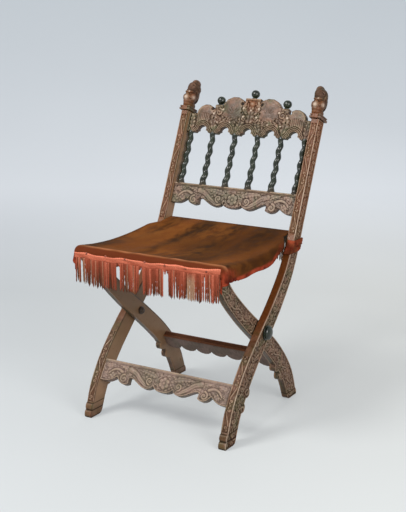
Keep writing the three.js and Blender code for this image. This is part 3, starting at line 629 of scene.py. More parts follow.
def brown_velvet(sizes):
    material, net, shader, vector = new_finish("Brown velvet")
    streak = net.noise(net.stretched(vector, (13, 2.2, 8)), 1.0, 1.0, 0.4)
    nap = net.noise(net.stretched(vector, (55, 26, 45)), 1.0, 2.0, 0.5, 0.2)
    worn = net.patches(vector, 7.0, 0.2)
    shade = net.noise(net.stretched(vector, (7.0, 2.6, 5.0)), 1.0, 1.0, 0.4)
    pile = net.noise(vector, 900.0, 2.0, 0.6)
    share = net.math("ADD", net.times(streak, 0.82), net.times(nap, 0.18))
    base = net.mix(net.remap(share, 0.39, 0.57), sizes.velvet_dark, sizes.velvet_light)
    base = net.mix(net.times(worn, net.remap(nap, 0.4, 0.6, 0.1, 0.5)), base, sizes.velvet_worn)
    base = net.mix(net.remap(shade, 0.46, 0.66, 0.0, 0.65), base, sizes.velvet_dark)
    base = net.mix(net.attribute("front"), base, sizes.velvet_front)
    # Painted shade on the side drops and the post wraps.
    base = net.mix(net.attribute("dim"), base, sizes.velvet_dark)
    base = net.mix(net.remap(pile, 0.45, 0.75, 0.0, 0.45), base, sizes.velvet_dark)
    # A painted highlight along the crest of the front lip.
    base = net.mix(net.attribute("blush"), base, sizes.velvet_rust)
    hem = net.mix(net.remap(nap, 0.35, 0.65), sizes.velvet_hem, sizes.velvet_wine)
    colour = net.mix(net.attribute("hem"), base, hem)
    height = net.math("ADD", net.times(pile, 0.6), nap)
    link_finish(net, shader, colour, net.remap(nap, 0.3, 0.7, 0.8, 1.0), height, Specular_IOR_Level=0.08,
                Sheen_Weight=0.035, Sheen_Roughness=0.35, Sheen_Tint=rgba(sizes.velvet_sheen))
    return material


def coral_braid(sizes):
    material, net, shader, vector = new_finish("Coral braid")
    tone = net.attribute("tone")
    speck = net.noise(vector, 420.0, 3.0, 0.6)
    base = net.mix(net.remap(tone, 0.0, 0.5), sizes.braid_coral, sizes.braid_rust)
    base = net.mix(net.remap(tone, 0.5, 1.0), base, sizes.braid_brown)
    base = net.mix(net.attribute("pale"), base, sizes.braid_pale)
    colour = net.mix(net.remap(speck, 0.4, 0.75, 0.0, 0.5), base, sizes.braid_brown)
    link_finish(net, shader, colour, net.remap(speck, 0.3, 0.7, 0.75, 1.0), speck, 0.3, 0.0008,
                Specular_IOR_Level=0.15)
    return material


def pale_stage(sizes):
    """A floor that shows the photo's even light and still takes the chair's shadow."""
    material, net, shader, vector = new_finish("Pale floor")
    cloud = net.noise(vector, 1.2, 2.0, 0.5)
    colour = net.mix(net.remap(cloud, 0.3, 0.7), sizes.floor_colour, [c * 0.97 for c in sizes.floor_colour])
    link_finish(net, shader, colour, net.remap(cloud, 0.3, 0.7, 0.85, 0.95), Specular_IOR_Level=0.1)
    run = net.attribute("run")
    to_right = net.node("ShaderNodeVectorMath", {0: vector, 1: (0.86, 0.51, 0)},
                        operation="DOT_PRODUCT").outputs["Value"]
    near = net.mix(net.remap(to_right, -0.9, 0.7), sizes.left_glow, sizes.floor_glow)
    glow = net.mix(net.remap(run, 3.0, 5.0), near, sizes.wall_glow)
    glow = net.mix(net.remap(run, 5.0, 6.7), glow, sizes.high_glow)
    net.put(glow, shader["Emission Color"])
    net.put(net.seen_directly(), shader["Emission Strength"])
    return material


FINISHES = {}


def finish(name, sizes):
    """Each finish is made once, with the settings of the first piece that asks."""
    if not FINISHES:
        build_groups()
        FINISHES.update(oak=carved_oak(sizes), black=black_wood(sizes), velvet=brown_velvet(sizes),
                        iron=dark_iron("Dark iron", "#2b2521", "#5a4a3c", 0.85),
                        tack=dark_iron("Red lacquered tacks", "#6e3020", "#94503a", 0.2),
                        nut=dark_iron("Browned nuts", "#33281f", "#5c4a3a", 0.1),
                        braid=coral_braid(sizes), floor=pale_stage(sizes))
    return FINISHES[name]


# Legs.
class LegCourse:
    """Runs along a leg's plain edge: distance along it, and distance in from it."""

    def __init__(self, segments, upper, foot, top):
        """The edge is read every 4 mm, and both ends are carried on in a straight line."""
        stations = np.arange(foot, top, 4.0)
        line = np.column_stack([stations, edge_line(segments, stations, upper)])
        first = line[0] + (line[0] - line[1]) * 8
        last = line[-1] + (line[-1] - line[-4]) / 3 * 16
        self.line = np.vstack([first, line, last])
        run = np.diff(self.line, axis=0)
        self.length = np.hypot(run[:, 0], run[:, 1])
        self.way = run / self.length[:, None]
        self.mark = np.concatenate([[0], np.cumsum(self.length)]) - self.length[0]
        self.inward = np.column_stack([-self.way[:, 1], self.way[:, 0]]) * (-1 if upper else 1)

    def project(self, x, y, chunk=4000):
        """Distance along, distance in and the inward direction at each point."""
        along, away, inward = np.empty(len(x)), np.empty(len(x)), np.empty((len(x), 2))
        for i in range(0, len(x), chunk):
            px = x[i:i + chunk, None] - self.line[:-1, 0]
            py = y[i:i + chunk, None] - self.line[:-1, 1]
            t = np.clip(px * self.way[:, 0] + py * self.way[:, 1], 0, self.length)
            gap = np.hypot(px - t * self.way[:, 0], py - t * self.way[:, 1])
            pick = gap.argmin(1)
            rows = np.arange(len(pick))
            along[i:i + chunk] = self.mark[pick] + t[rows, pick]
            inward[i:i + chunk] = self.inward[pick]
            sign = np.sign(px[rows, pick] * self.inward[pick, 0] + py[rows, pick] * self.inward[pick, 1])
            away[i:i + chunk] = gap[rows, pick] * np.where(sign == 0, 1, sign)
        return along, away, inward

    def at_height(self, height):
        return float(np.interp(height, self.line[:, 0], self.mark))


def running_foliage(relief, start, end, wave, reach, rise):
    """A stem that waves along, with a scroll in each bay and leaves that fill the gaps."""
    count = max(int(round((end - start) / wave)), 1)
    step = (end - start) / count
    bays = [(start + (i + 0.5) * step / 2, (-1) ** i) for i in range(count * 2)]
    for middle, side in bays:
        relief.leaf((middle - step * 0.26, -side * reach * 0.1), (middle + step * 0.2, -side * reach * 0.92),
                    0.3 * side, reach * 0.42, rise * 0.95, 4)
        relief.leaf((middle + step * 0.02, side * reach * 0.3), (middle + step * 0.3, side * reach * 0.98),
                    -0.25 * side, reach * 0.34, rise * 0.9, 3)
    stem = [(start + i * step / 2, reach * 0.34 * (-1) ** i) for i in range(count * 2 + 1)]
    relief.stroke(stem, 2.7, 2.7, rise * 0.95, 8)
    for middle, side in bays:
        relief.scroll((middle, side * reach * 0.3), reach * 0.46, math.pi / 2 * side, 1.2 * side, 2.9, rise)
        relief.pit((middle + step * 0.24, side * reach * 0.02), 1.8, 1.8)


def edge_scrolls(relief, start, end, pitch, half, rise):
    """S-shaped scrolls in a row, with a bud between them."""
    count = max(int(round((end - start) / pitch)), 1)
    step = (end - start) / count
    for i in range(count):
        side = (-1) ** i
        low, high = start + i * step, start + (i + 1) * step
        relief.stroke([(low + 5, side * half * 0.3), (low + step * 0.3, side * half * 0.55),
                       (low + step * 0.5, 0), (low + step * 0.7, -side * half * 0.55),
                       (high - 5, -side * half * 0.3)], 2.5, 2.5, rise, 6)
        for middle, end_side in ((low + step * 0.17, side), (high - step * 0.17, -side)):
            relief.scroll((middle, -end_side * half * 0.1), half * 0.5, math.pi / 2 * end_side, -1.2 * side, 1.7,
                          rise)
        relief.dome((high, 0), 3.2, rise)


def carve_leg(node, side, upper_is_plain, middles, runs, eyes, edge_runs, reeds, heel, sizes, body):
    """Foliage on the outer face, scrolls on the plain edge, reeds and a round heel at the foot."""
    axes = leg_axes(side)
    low, high = axes.span(node)
    back, face = low[2], high[2]
    thick = face - back
    rise = sizes.carving_depth
    segments = rim_segments(node, axes, face)
    course = LegCourse(segments, upper_is_plain, 6, segments[:, :, 0].max() - 26)
    mesh = carving_block(node, axes, sizes.leg_voxel)
    p = places(mesh)
    up = p[:, 0]
    along, away, inward = course.project(up, p[:, 1])
    depth = np.full(len(p), 0.05)

    # The outer face, inside a plain bead along its outline.
    on = p[:, 2] > face - 4.5
    relief = Relief(along[on], away[on] - np.interp(along[on], *middles), -rise)
    relief.litter(31 + side, 9.5, 15, 4.2, rise * 0.75, 0.0, 0.8)
    for start, end, wave, reach in runs:
        running_foliage(relief, course.at_height(start), course.at_height(end), wave, reach, rise)
    for lift, height in eyes:
        (at,), (into,), _ = course.project(np.array([height]), np.array([lift]))
        eye = (at, into - np.interp(at, *middles))
        relief.ring(eye, 7.4, 3.2, rise)
        relief.pit(eye, 3.6, 4.0)
    rim = distance_to(segments, p[on, 0], p[on, 1])
    gutter = (rim > 3.6) & (rim < 5.2)
    relief.height[gutter] = relief.ground
    relief.band(rim, 0.1, 3.8, rise)
    depth[on] = relief.cavity()
    level = np.maximum(relief.height, -rise * 1.6) - 0.5 * (1 - ramp(rim, 1.6))
    p[on, 2] = np.minimum(p[on, 2], face + level)

    # The plain edge, with scrolls where the leg has them.
    edge_rise = 1.8
    on = (away < 2.6) & (p[:, 2] < face - 1.0) & (p[:, 2] > back + 1.0)
    relief = Relief(along[on], p[on, 2] - (face - thick / 2), -edge_rise)
    plain = np.ones(on.sum(), bool)
    for start, end, pitch in edge_runs:
        start, end = course.at_height(start), course.at_height(end)
        plain &= ~((relief.x > start) & (relief.x < end))
        edge_scrolls(relief, start, end, pitch, thick / 2 - 2.5, edge_rise)
    relief.band(thick / 2 - np.abs(relief.y), 0.2, 3.2, edge_rise)
    relief.height[plain] = 0
    relief.height += 0.12 * ripple(relief.x * 0.5, relief.y * 0.9, 4.0)
    move = np.maximum(np.maximum(-relief.height, 0) - away[on], 0)
    p[on, :2] += move[:, None] * inward[on]
    depth[on] = np.where(plain, 0.1, relief.cavity(rounds=8))

    # The foot's reeds stand proud at the plain edge and fade within 26 mm of it; the seams between them are painted
    # dark as shade.
    for reed_low, reed_high, proud in reeds:
        share = (up - reed_low) / (reed_high - reed_low)
        roll = rounded(2 * share - 1) * proud * ramp(1 - away / 26)
        p[:, :2] -= roll[:, None] * inward
        seam = np.minimum(np.abs(share), np.abs(share - 1)) * (reed_high - reed_low)
        depth = np.where(seam < 2.2, np.minimum(depth, -1.2 + seam * 0.5), depth)

    # Warm where the polish shows: the plain edge, the foot and the upper face.
    foot = ramp(1 - up / 60)
    edge_warm = 0.5 if upper_is_plain else np.interp(up, (0, 240, 300, 450, 520, 800),
                                                     (0.2, 0.25, 0.9, 0.9, 0.5, 0.5))
    edge_warm = ramp(1 - (away - 1.0) / 3.0) * (p[:, 2] > back + 0.6) * edge_warm
    face_warm = np.interp(up, (0, 440, 520, 800), (0.12, 0.12, 0.6, 0.8)) * (p[:, 2] > face - 5)
    warm = np.maximum(np.maximum(edge_warm, foot * 0.3), face_warm)
    # Inner marks the plain inner faces, which are painted lighter against their shade.
    inner = ramp(face - thick * 0.7 - p[:, 2], 2.5) * ramp(away - 2, 3) * (1 - foot)

    # The heel is rounded off, and the corner between face and plain edge gets a painted highlight.
    sole = p[up < 6, 1]
    heel_at = sole.min() if upper_is_plain else sole.max()
    into = ramp(1 - np.abs(p[:, 1] - heel_at) / heel)
    p[:, 0] = np.maximum(up, heel * (1 - rounded(into)) * 0.8)
    finish_block(mesh, axes, p)
    arris = ramp(1.15 - np.hypot(away, face - p[:, 2]) / 2.8)
    painted_highlight = arris * np.interp(up, (0, 420, 520, 800), (0.3, 0.45, 0.55, 0.3))
    painted_highlight *= 1 + 0.6 * ripple(up * 0.05, away * 0.1)
    add_values(mesh, carve=depth, warm=warm, inner=inner, bright=ramp(painted_highlight),
               bleached=0.15 if upper_is_plain else 0.0)
    return place_piece(node + "_carved", mesh, finish("oak", sizes), body, [node])


# Boards.
BACK_DEPTH = 1.6
FAR = 99  # a distance that no bead or bevel reaches


def carve_board(node, axes, front_design, back_design, sizes, body, warm_at=None, bleached=0.0, edge_depth=0.05):
    """Carves a board's front, and its back less deeply, each by its own design."""
    mesh = carving_block(node, axes, sizes.board_voxel)
    p = places(mesh)
    segments = rim_segments(node, axes, 0)
    # Off the carved faces the carve value is edge_depth; below zero it paints the edges dark, as shade.
    depth = np.full(len(p), edge_depth)
    bright = np.zeros(len(p))
    on = p[:, 2] > -6
    relief = Relief(p[on, 0], p[on, 1], -sizes.carving_depth)
    front_design(relief, distance_to(segments, p[on, 0], p[on, 1]), segments)
    # The beads' painted highlights go into bright.
    depth[on], bright[on] = relief.cavity(), relief.bright * 0.6
    p[on, 2] = np.minimum(p[on, 2], relief.height)

    back = axes.span(node)[0][2]
    on = (p[:, 2] < back + 4) & (np.abs(p[:, 0]) < np.abs(segments[:, :, 0]).max())
    relief = Relief(p[on, 0], p[on, 1], -BACK_DEPTH)
    back_design(relief, distance_to(segments, p[on, 0], p[on, 1]))
    depth[on] = relief.cavity()
    p[on, 2] = np.maximum(p[on, 2], back - relief.height)
    warm = warm_at(p[:, 0], p[:, 1]) if warm_at else 0.0
    finish_block(mesh, axes, p)
    add_values(mesh, carve=depth, warm=warm, bleached=bleached, bright=bright)
    return place_piece(node + "_carved", mesh, finish("oak", sizes), body, [node])


def mirrored(side, *points):
    """Points that were set out for the right half, on the side asked for."""
    return [(side * x, y) for x, y in points]


def mirrored_leaves(relief, side, rows):
    """Each row: base, tip, bend, half width, share of the full height, lobes."""
    for base, tip, bend, half, share, lobes in rows:
        relief.leaf(*mirrored(side, base, tip), side * bend, half, -relief.ground * share, lobes)


# The crest is set out from a line 42.5 mm below its highest point, and its arches end at -34.
CREST_TOP = 42.5
ARCH_TOP = -34
CREST_LEAVES = (((112, -62), (104, 8), -0.16, 13, 1, 5), ((98, -46), (78, -14), 0.2, 10, 1, 3),
                ((38, -62), (33, -8), 0.16, 12, 1, 5), ((187, -62), (190, -14), 0, 10, 1, 4),
                ((70, -42), (46, -20), -0.3, 10, 1, 4))
# Place across, height and radius.
CREST_PITS = ((127, 3, 4.2), (82, -22, 3.0), (30, 22, 3.4), (30, -4, 3.4), (118, -26, 3.0))
# Beads with a painted highlight: place across, height and radius.
CREST_BEADS = ((121, -12, 5.0), (92, 2, 4.6), (25, 10, 4.8), (22, -16, 4.6), (62, -36, 3.6), (104, -38, 3.6))


def crest_design(relief, rim, segments):
    """Smooth lobes, reeded ends, scrolls and leaves over a row of moulded arches."""
    relief.litter(7, 10.0, 17, 5.2, -relief.ground * 0.85, math.pi / 2, 0.6)
    tops = segments[:, :, 1].max(1) - segments[:, :, 1].min()
    heads = segments[(tops > 0.4) & (tops < 26) & (np.abs(segments[:, :, 0]).max(1) < 180)]
    arch = distance_to(heads, relief.x, relief.y)
    relief.y += CREST_TOP
    rise = -relief.ground
    for side in (-1, 1):
        relief.stroke(mirrored(side, (148, -62), (148, -16)), 29, 30, rise)
        relief.dome((side * 148, -14), 31, rise)
        for i in range(10):
            off = i - 4.5
            relief.groove(mirrored(side, (148 + off * 6.0, -60), (148 + off * 6.0, -10 - abs(off) * 2.2)), 1.5, 1.0)
        mirrored_leaves(relief, side, CREST_LEAVES)
        relief.dome((side * 57, 8), 36, rise * 1.02)
        for i in range(5):
            way = direction(math.radians(54 + 18 * i))
            relief.groove([np.array([side * 57, -14]) + way * 14, np.array([side * 57, -18]) + way * 30], 1.2, 0.5)
        relief.scroll((side * 104, -6), 11, math.pi / 2, side * 1.4, 3.4, rise)
        relief.scroll((side * 18, -22), 10, 0, -side * 1.3, 3.2, rise)
        mirrored_leaves(relief, side, (((6, -10), (18, 36), -0.25, 8, 1, 4),))
        relief.stroke(mirrored(side, (201, -68), (201, -14)), 2.4, 2.4, rise)
        for across, high, radius in CREST_PITS:
            relief.pit((side * across, high), radius, 3)
        for across, high, radius in CREST_BEADS:
            relief.bead((side * across, high), radius, rise)
    # The middle: one tall leaf under a small cap.
    relief.leaf((0, -52), (0, 30), 0, 13, rise, 6)
    relief.bead((0, 4), 4.5, rise)
    relief.dome((0, 24), 9, rise)
    relief.stroke([(-22, 38), (22, 38)], 3.0, 3.0, rise)
    # Three beads round each arch, and an eased upper edge.
    relief.height[(arch < 14) & (relief.y < ARCH_TOP)] = relief.ground
    for low, high in ((0.1, 2.6), (4.6, 7.2), (9.4, 12.2)):
        relief.band(np.where(relief.y < ARCH_TOP, arch, FAR), low, high, rise)
    relief.height -= 1.4 * ramp(1 - np.where(relief.y > ARCH_TOP, rim, FAR) / 3.2) ** 2


def crest_back(relief, rim):
    """The lobes again, lower, inside a bead."""
    rise = -relief.ground
    relief.y += CREST_TOP
    for side in (-1, 1):
        relief.dome((side * 57, 2), 34, rise * 0.9)
        relief.dome((side * 148, -16), 26, rise * 0.9)
    relief.band(rim, 0.2, 5.0, rise)


RAIL_LEAVES = (((26, 38), (88, 48), 0.06, 9, 0.9, 6), ((158, 12), (190, 22), 0.16, 10, 1, 4),
               ((112, 38), (152, 51), 0.1, 8, 0.9, 4), ((100, 30), (82, 10), 0.1, 8, 0.85, 3),
               ((192, 42), (164, 50), 0, 7, 0.8, 3))
RAIL_SCROLL = ((112, 44), (92, 36), (74, 22), (52, 9), (33, 9), (27, 18))
RAIL_SCROLL_GROOVE = ((100, 39), (90, 34), (76, 22), (53, 10), (36, 11))
RAIL_END_SCROLL = ((138, 33), (152, 38), (168, 34), (180, 22))
RAIL_PITS = ((24.5, 13, 3.6), (143, 16, 3.6), (113, 15, 3.0))
ROSETTE = np.array([0, 26])


def scroll_rail_design(height):
    """S-scrolls that meet at a round boss, leaves at the ends and a moulded top edge."""
    def design(relief, rim, segments):
        relief.litter(19, 9.0, 14, 4.0, -relief.ground * 0.75, 0.0, 0.9)
        relief.y += height
        rise = -relief.ground
        for side in (-1, 1):
            mirrored_leaves(relief, side, RAIL_LEAVES)
            relief.stroke(mirrored(side, *RAIL_SCROLL), 8.0, 3.8, rise, 8, 1.6)
            relief.groove(mirrored(side, *RAIL_SCROLL_GROOVE), 1.5, 1.2, 8)
            relief.scroll((side * 46, 24), 10.5, -math.pi / 2, side * 1.3, 3.0, rise)
            relief.scroll((side * 128, 15), 12, math.pi / 2, -side * 1.3, 3.6, rise)
            relief.stroke(mirrored(side, *RAIL_END_SCROLL), 4.8, 2.6, rise, 8, 2.0)
            for across, high, radius in RAIL_PITS:
                relief.pit((side * across, high), radius, 3.3)
        # A rosette of six petals in the middle.
        relief.height[relief.from_point(ROSETTE) < 19] = relief.ground
        for i in range(6):
            way = direction(math.pi * (i + 0.5) / 3)
            relief.dome(ROSETTE + way * 10.5, 6.6, rise * 0.95)
            relief.groove([ROSETTE + way * 6, ROSETTE + way * 13.5], 1.1, 0.9)
        relief.dome(ROSETTE, 5.2, rise)
        # A bead along the lower edge and two along the top.
        lower = np.where(relief.y < height - 14, rim, FAR)
        relief.height[(lower > 3.2) & (lower < 4.4)] = relief.ground
        relief.band(lower, 0.1, 3.4, rise)
        below_top = height - relief.y
        relief.height[below_top < 9.5] = relief.ground
        relief.band(below_top, 0.1, 5.8, rise)
        relief.band(below_top, 6.2, 8.6, rise * 0.6)
    return design


def plain_rail_design(relief, rim, segments):
    """Hardly carved: worn wood, a line that follows the outline and an eased edge."""
    relief.height[:] = 0.12 * ripple(relief.x * 0.3, relief.y * 0.4, 2.0)
    relief.height -= 1.2 * ramp(1 - np.abs(rim - 4.5) / 1.4)
    relief.height -= 0.5 * (1 - ramp(rim, 1.8))


def back_bead(relief, rim):
    relief.height[:] = -0.9 * ramp(1 - np.abs(rim - 5) / 1.3)


# Turned and modelled pieces.
FINE_VOXEL = 0.8


def turned(profile, axes, steps=48):
    """A shape spun about the lift axis of its working frame."""
    bm = bmesh.new()
    points = [bm.verts.new((radius, up, 0)) for radius, up in profile]
    edges = [bm.edges.new(pair) for pair in zip(points, points[1:])]
    bmesh.ops.spin(bm, geom=points + edges, cent=(0, 0, 0), axis=(0, 1, 0), angle=2 * math.pi, steps=steps,
                   use_merge=True)
    bmesh.ops.remove_doubles(bm, verts=bm.verts, dist=1e-4)
    bmesh.ops.recalc_face_normals(bm, faces=bm.faces)
    mesh = mesh_from(bm, "turned")
    write_places(mesh, axes.world(places(mesh)) * MM)
    outward(mesh)
    mesh.shade_smooth()
    mesh.set_sharp_from_angle(angle=math.radians(40))
    return mesh


def twisted_spindle(node, sizes):
    """A strand that winds round the spindle's axis, on a flared base, with a pin at each end."""
    axes, (_, full, _) = standing_axes(node)
    pin, pitch = sizes.spindle_pin / MM, sizes.spindle_twist / MM
    rows, around = 170, 26
    swing, strand = 1.8, 8.0
    base_radius, flare, neck_radius, pin_radius = 9.0, 4.0, 9.6, 4.6
    bm = bmesh.new()
    bmesh.ops.create_cone(bm, segments=around, radius1=1, radius2=1, depth=2, cap_ends=True)
    tube = [e for e in bm.edges if abs(e.verts[0].co.z - e.verts[1].co.z) > 1]
    bmesh.ops.subdivide_edges(bm, edges=tube, cuts=rows, use_grid_fill=True)
    mesh = mesh_from(bm, node + "_twist")
    p = places(mesh)
    up = (p[:, 2] + 1) / 2 * full
    inside = (up - pin) / (full - pin * 2)
    angle = np.arctan2(p[:, 1], p[:, 0])
    turn = angle + 2 * math.pi * (up - pin) / pitch
    wound = swing * np.cos(turn) + np.sqrt(strand**2 - (swing * np.sin(turn)) ** 2)
    wound += 1.6 * ramp(1 - inside / 0.4) - 0.5 * ramp(-np.cos(turn)) ** 3
    foot = ramp(1 - inside / 0.13)
    base = base_radius + flare * foot**1.5
    end = ramp(np.minimum(inside / 0.12, (1 - inside) / 0.05))
    radius = base + (wound - base) * end * end * (3 - 2 * end)
    radius = np.where(inside > 0.985, neck_radius, radius)
    radius = np.where((inside < 0.0) | (inside > 1.0), pin_radius, radius)
    write_places(mesh, axes.world(np.column_stack([radius * np.cos(angle), up, radius * np.sin(angle)])) * MM)
    add_values(mesh, worn=ramp(foot * 1.2) * 0.55)
    outward(mesh)
    mesh.shade_smooth()
    mesh.set_sharp_from_angle(angle=math.radians(50))
    return place_piece(node + "_twist", mesh, finish("black", sizes), "back_frame", [node])


def blob(bm, centre, half, turn=0.0):
    """An egg-shaped mass, turned in the plane that faces sideways."""
    made = bmesh.ops.create_uvsphere(bm, u_segments=20, v_segments=14, radius=1)["verts"]
    matrix = Matrix.Translation(centre) @ Matrix.Rotation(turn, 4, "X") @ Matrix.Diagonal((*half, 1))
    bmesh.ops.transform(bm, matrix=matrix, verts=made)


def cut_stroke(points, way_points, half, depth, centre):
    """Pushes points in towards a centre where they lie near a line in space."""
    line = smooth_curve(way_points, 6)
    best = np.full(len(points), 1e9)
    for a, b in zip(line, line[1:]):
        run = b - a
        t = ramp(((points - a) @ run) / (run @ run + 1e-9))
        best = np.minimum(best, np.linalg.norm(points - a - t[:, None] * run, axis=1))
    push = depth * ramp(1 - (best / half) ** 2)
    way = centre - points
    return points + way / (np.linalg.norm(way, axis=1)[:, None] + 1e-9) * push[:, None]


# Sling.
def cloth_section():
    """Side line of the cloth, from the rear rail's lip to the front rail's lip."""
    rear_low, rear_high = box_mm("rear_seat_rail")
    front_low, front_high = box_mm("front_seat_rail")
    skin, corner, lip, sag, bays = 0.6, 9.0, 20, 13.0, 20
    line = [(rear_high[1] + skin, rear_high[2] - lip)]
    for angle in np.linspace(0, math.pi / 2, 5):
        line.append((rear_high[1] - corner + (corner + skin) * math.cos(angle),
                     rear_high[2] - corner + (corner + skin) * math.sin(angle)))
    for share in (i / bays for i in range(1, bays)):
        taut = rear_high[2] + (front_high[2] - rear_high[2]) * share + skin
        line.append((rear_low[1] - (rear_low[1] - front_high[1]) * share, taut - 4 * sag * share * (1 - share)))
    middle, tall, front = (front_low[1] + front_high[1]) / 2, front_high[2], front_low[1]
    line += [(front_high[1] - 6, tall + skin + 0.8), (middle - 2, tall + skin + 2.6),
             (front + 5, tall + skin + 1.4), (front - 1.2, tall - 3.2), (front - 4.0, tall - 9),
             (front - 4.2, tall - 14), (front - 2.2, tall - 19), (front - skin, tall - 24)]
    return smooth_curve(line, 4)


class ChairSizes(bpy.types.PropertyGroup):
    """Sizes and colours that a user would change."""
    leg_voxel: FloatProperty(name="Leg detail", description="Size of the squares on the legs, in mm", default=1.45)
    board_voxel: FloatProperty(name="Board detail", description="Size of the squares on the boards, in mm",
                               default=1.2)
    carving_depth: FloatProperty(name="Carving depth", description="Depth of the ground, in mm", default=3.3)
    spindle_twist: FloatProperty(name="Twist pitch", description="Length of one full twist", default=0.0345,
                                 unit="LENGTH")
    spindle_pin: FloatProperty(name="Spindle pin", description="Length of each end's pin", default=0.008,
                               unit="LENGTH")
    strand_count: IntProperty(name="Strands", description="Strands in the front fringe", default=118)
    strand_length: FloatProperty(name="Strand length", description="Length of a fringe strand", default=0.074,
                                 unit="LENGTH")


COLOURS = {
    "oak_olive": ("Olive oak", "#545036"), "oak_rose": ("Rosy oak", "#7f604e"),
    "oak_brown": ("Brown oak", "#3f2d1d"), "oak_amber": ("Amber oak", "#80461f"),
    # The dark oak also paints shade into the recesses, and the rubbed oak is wear and painted highlight on the high
    # points.
    "oak_dark": ("Oak in the recesses", "#171009"), "oak_pale": ("Bleached oak", "#a38d84"),
    "oak_rubbed": ("Rubbed and highlit oak", "#a8937c"), "oak_inner": ("Plain inner faces", "#9c7a5c"),
    # Pale colour of the painted highlights on the carving.
    "oak_bright": ("Painted highlights", "#d8c6b4"),
    "black_paint": ("Black polish", "#090e06"), "black_worn": ("Worn black polish", "#28331a"),
    "velvet_dark": ("Velvet in the nap", "#2d1806"), "velvet_light": ("Velvet against the nap", "#703e17"),
    "velvet_worn": ("Rubbed velvet", "#865628"), "velvet_hem": ("Velvet hem", "#9c4129"),
    # The edge colour here is a painted highlight along the front lip's crest.
    "velvet_sheen": ("Velvet sheen", "#b07850"), "velvet_rust": ("Painted sheen on the velvet's edge", "#a56a47"),
    "velvet_wine": ("Dark velvet folds", "#501a11"), "velvet_front": ("Velvet over the front rail", "#602c16"),
    "braid_coral": ("Coral braid", "#ea876a"), "braid_rust": ("Rust strands", "#9a4a35"),
    "braid_brown": ("Brown strand ends", "#532d1b"), "braid_pale": ("Faded strands", "#b39478"),
    "floor_colour": ("Floor", "#9fa3a4"), "floor_glow": ("Floor's own light", "#9fa1a1"),
    "left_glow": ("Floor's own light, left", "#8b9096"), "wall_glow": ("Wall's own light", "#b0b5bd"),
    "world_glow": ("Air around the stage", "#ced4da"), "high_glow": ("Light high on the wall", "#99a1aa"),
}
for key, (label, code) in COLOURS.items():
    ChairSizes.__annotations__[key] = FloatVectorProperty(
        name=label, description="Colour of " + label.lower(), default=tint(code), subtype="COLOR", size=3,
        min=0.0, max=1.0)


def sizes_of(context):
    return context.scene.church_chair


# Name, place, size, power and colour.
LAMPS = (("key", (-1.2, -2.2, 2.9), 1.3, 90, (1.0, 0.98, 0.95)),
         ("glint", (0.3, -2.9, 2.1), 0.3, 14, (1.0, 0.97, 0.94)),
         ("fill", (2.6, -1.2, 1.6), 1.8, 52, (1.0, 0.98, 0.96)),
         ("rear", (-0.9, 3.0, 2.0), 2.2, 15, (1.0, 0.98, 0.96)))
AIM = Vector((0, 0, 0.4))
SKY = (0.42, 0.412, 0.4)


class StageOperator(bpy.types.Operator):
    """Make the camera, the pale floor and the soft light"""
    bl_idname = "church_chair.stage"
    bl_label = "Stage"

    def execute(self, context):
        scene, sizes = context.scene, sizes_of(context)
        scene.view_settings.view_transform = "Standard"
        right = Vector((0.86036567, 0.50966146, 0.00401424))
        up = Vector((-0.12369424, 0.20115621, 0.97171802))
        back = right.cross(up)
        camera = bpy.data.objects.new("camera", bpy.data.cameras.new("camera"))
        camera.matrix_world = Matrix.Translation((1.47033, -2.50426, 1.13537)) @ Matrix(
            (right, up, back)).transposed().to_4x4()
        camera.data.lens = 75.2
        camera.data.sensor_width = 36
        scene.collection.objects.link(camera)
        scene.camera = camera
        self.floor(scene, sizes, Vector((-back.x, -back.y, 0)).normalized())
        for settings in LAMPS:
            self.lamp(scene, *settings)
        world = bpy.data.worlds.new("studio")
        world.use_nodes = True
        scene.world = world
        net = Net(world.node_tree)
        shown = net.mix(net.seen_directly(), SKY, sizes.world_glow)
        net.put(shown, world.node_tree.nodes["Background"].inputs["Color"])
        return {"FINISHED"}

    def floor(self, scene, sizes, away):
        """A strip that runs away from the camera and bends up into a wall."""
        length, half_width, flat_run, curve, before = 9.0, 6, 4.6, 1.6, 1.8
        bm = bmesh.new()
        bmesh.ops.create_grid(bm, x_segments=1, y_segments=24, size=1)
        mesh = mesh_from(bm, "floor")
        p = places(mesh)
        run = (p[:, 1] + 1) / 2 * length
        bent = np.clip(run - flat_run, 0, curve * math.pi / 2)
        rest = np.clip(run - flat_run - curve * math.pi / 2, 0, None)
        y = np.minimum(run, flat_run) + curve * np.sin(bent / curve)
        z = curve * (1 - np.cos(bent / curve)) + rest
        write_places(mesh, np.column_stack([p[:, 0] * half_width, y, z]))
        add_values(mesh, run=run)
        turn = Matrix.Rotation(math.atan2(-away.x, away.y), 4, "Z")
        mesh.transform(Matrix.Translation(away * -before) @ turn)
        outward(mesh)
        mesh.shade_smooth()
        floor = bpy.data.objects.new("floor", mesh)
        scene.collection.objects.link(floor)
        mesh.materials.append(finish("floor", sizes))

    def lamp(self, scene, name, place, size, power, colour):
        data = bpy.data.lights.new(name, "AREA")
        data.shape = "DISK"
        data.size = size
        data.energy = power
        data.color = colour
        light = bpy.data.objects.new(name, data)
        turn = (AIM - Vector(place)).to_track_quat("-Z", "Y").to_matrix().to_4x4()
        light.matrix_world = Matrix.Translation(place) @ turn
        scene.collection.objects.link(light)


class LongLegsOperator(bpy.types.Operator):
    """Carve the two long legs with running foliage"""
    bl_idname = "church_chair.long_legs"
    bl_label = "Long legs"

    def execute(self, context):
        for name, side in SIDES:
            carve_leg("long_leg_" + name, side, upper_is_plain=False,
                      middles=([0, 560, 640, 1100], [28.5, 28.5, 20, 20]),
                      runs=[(10, 236, 82, 21), (292, 455, 82, 21), (500, 800, 66, 13.5)],
                      eyes=[(-165.5, 124), (-189.5, 83), (-112.5, 243)],
                      edge_runs=[(44, 216, 60), (500, 792, 74)], reeds=[(2, 20, 5.0), (21, 39, 5.0)],
                      heel=16, sizes=sizes_of(context), body="back_frame")
        return {"FINISHED"}


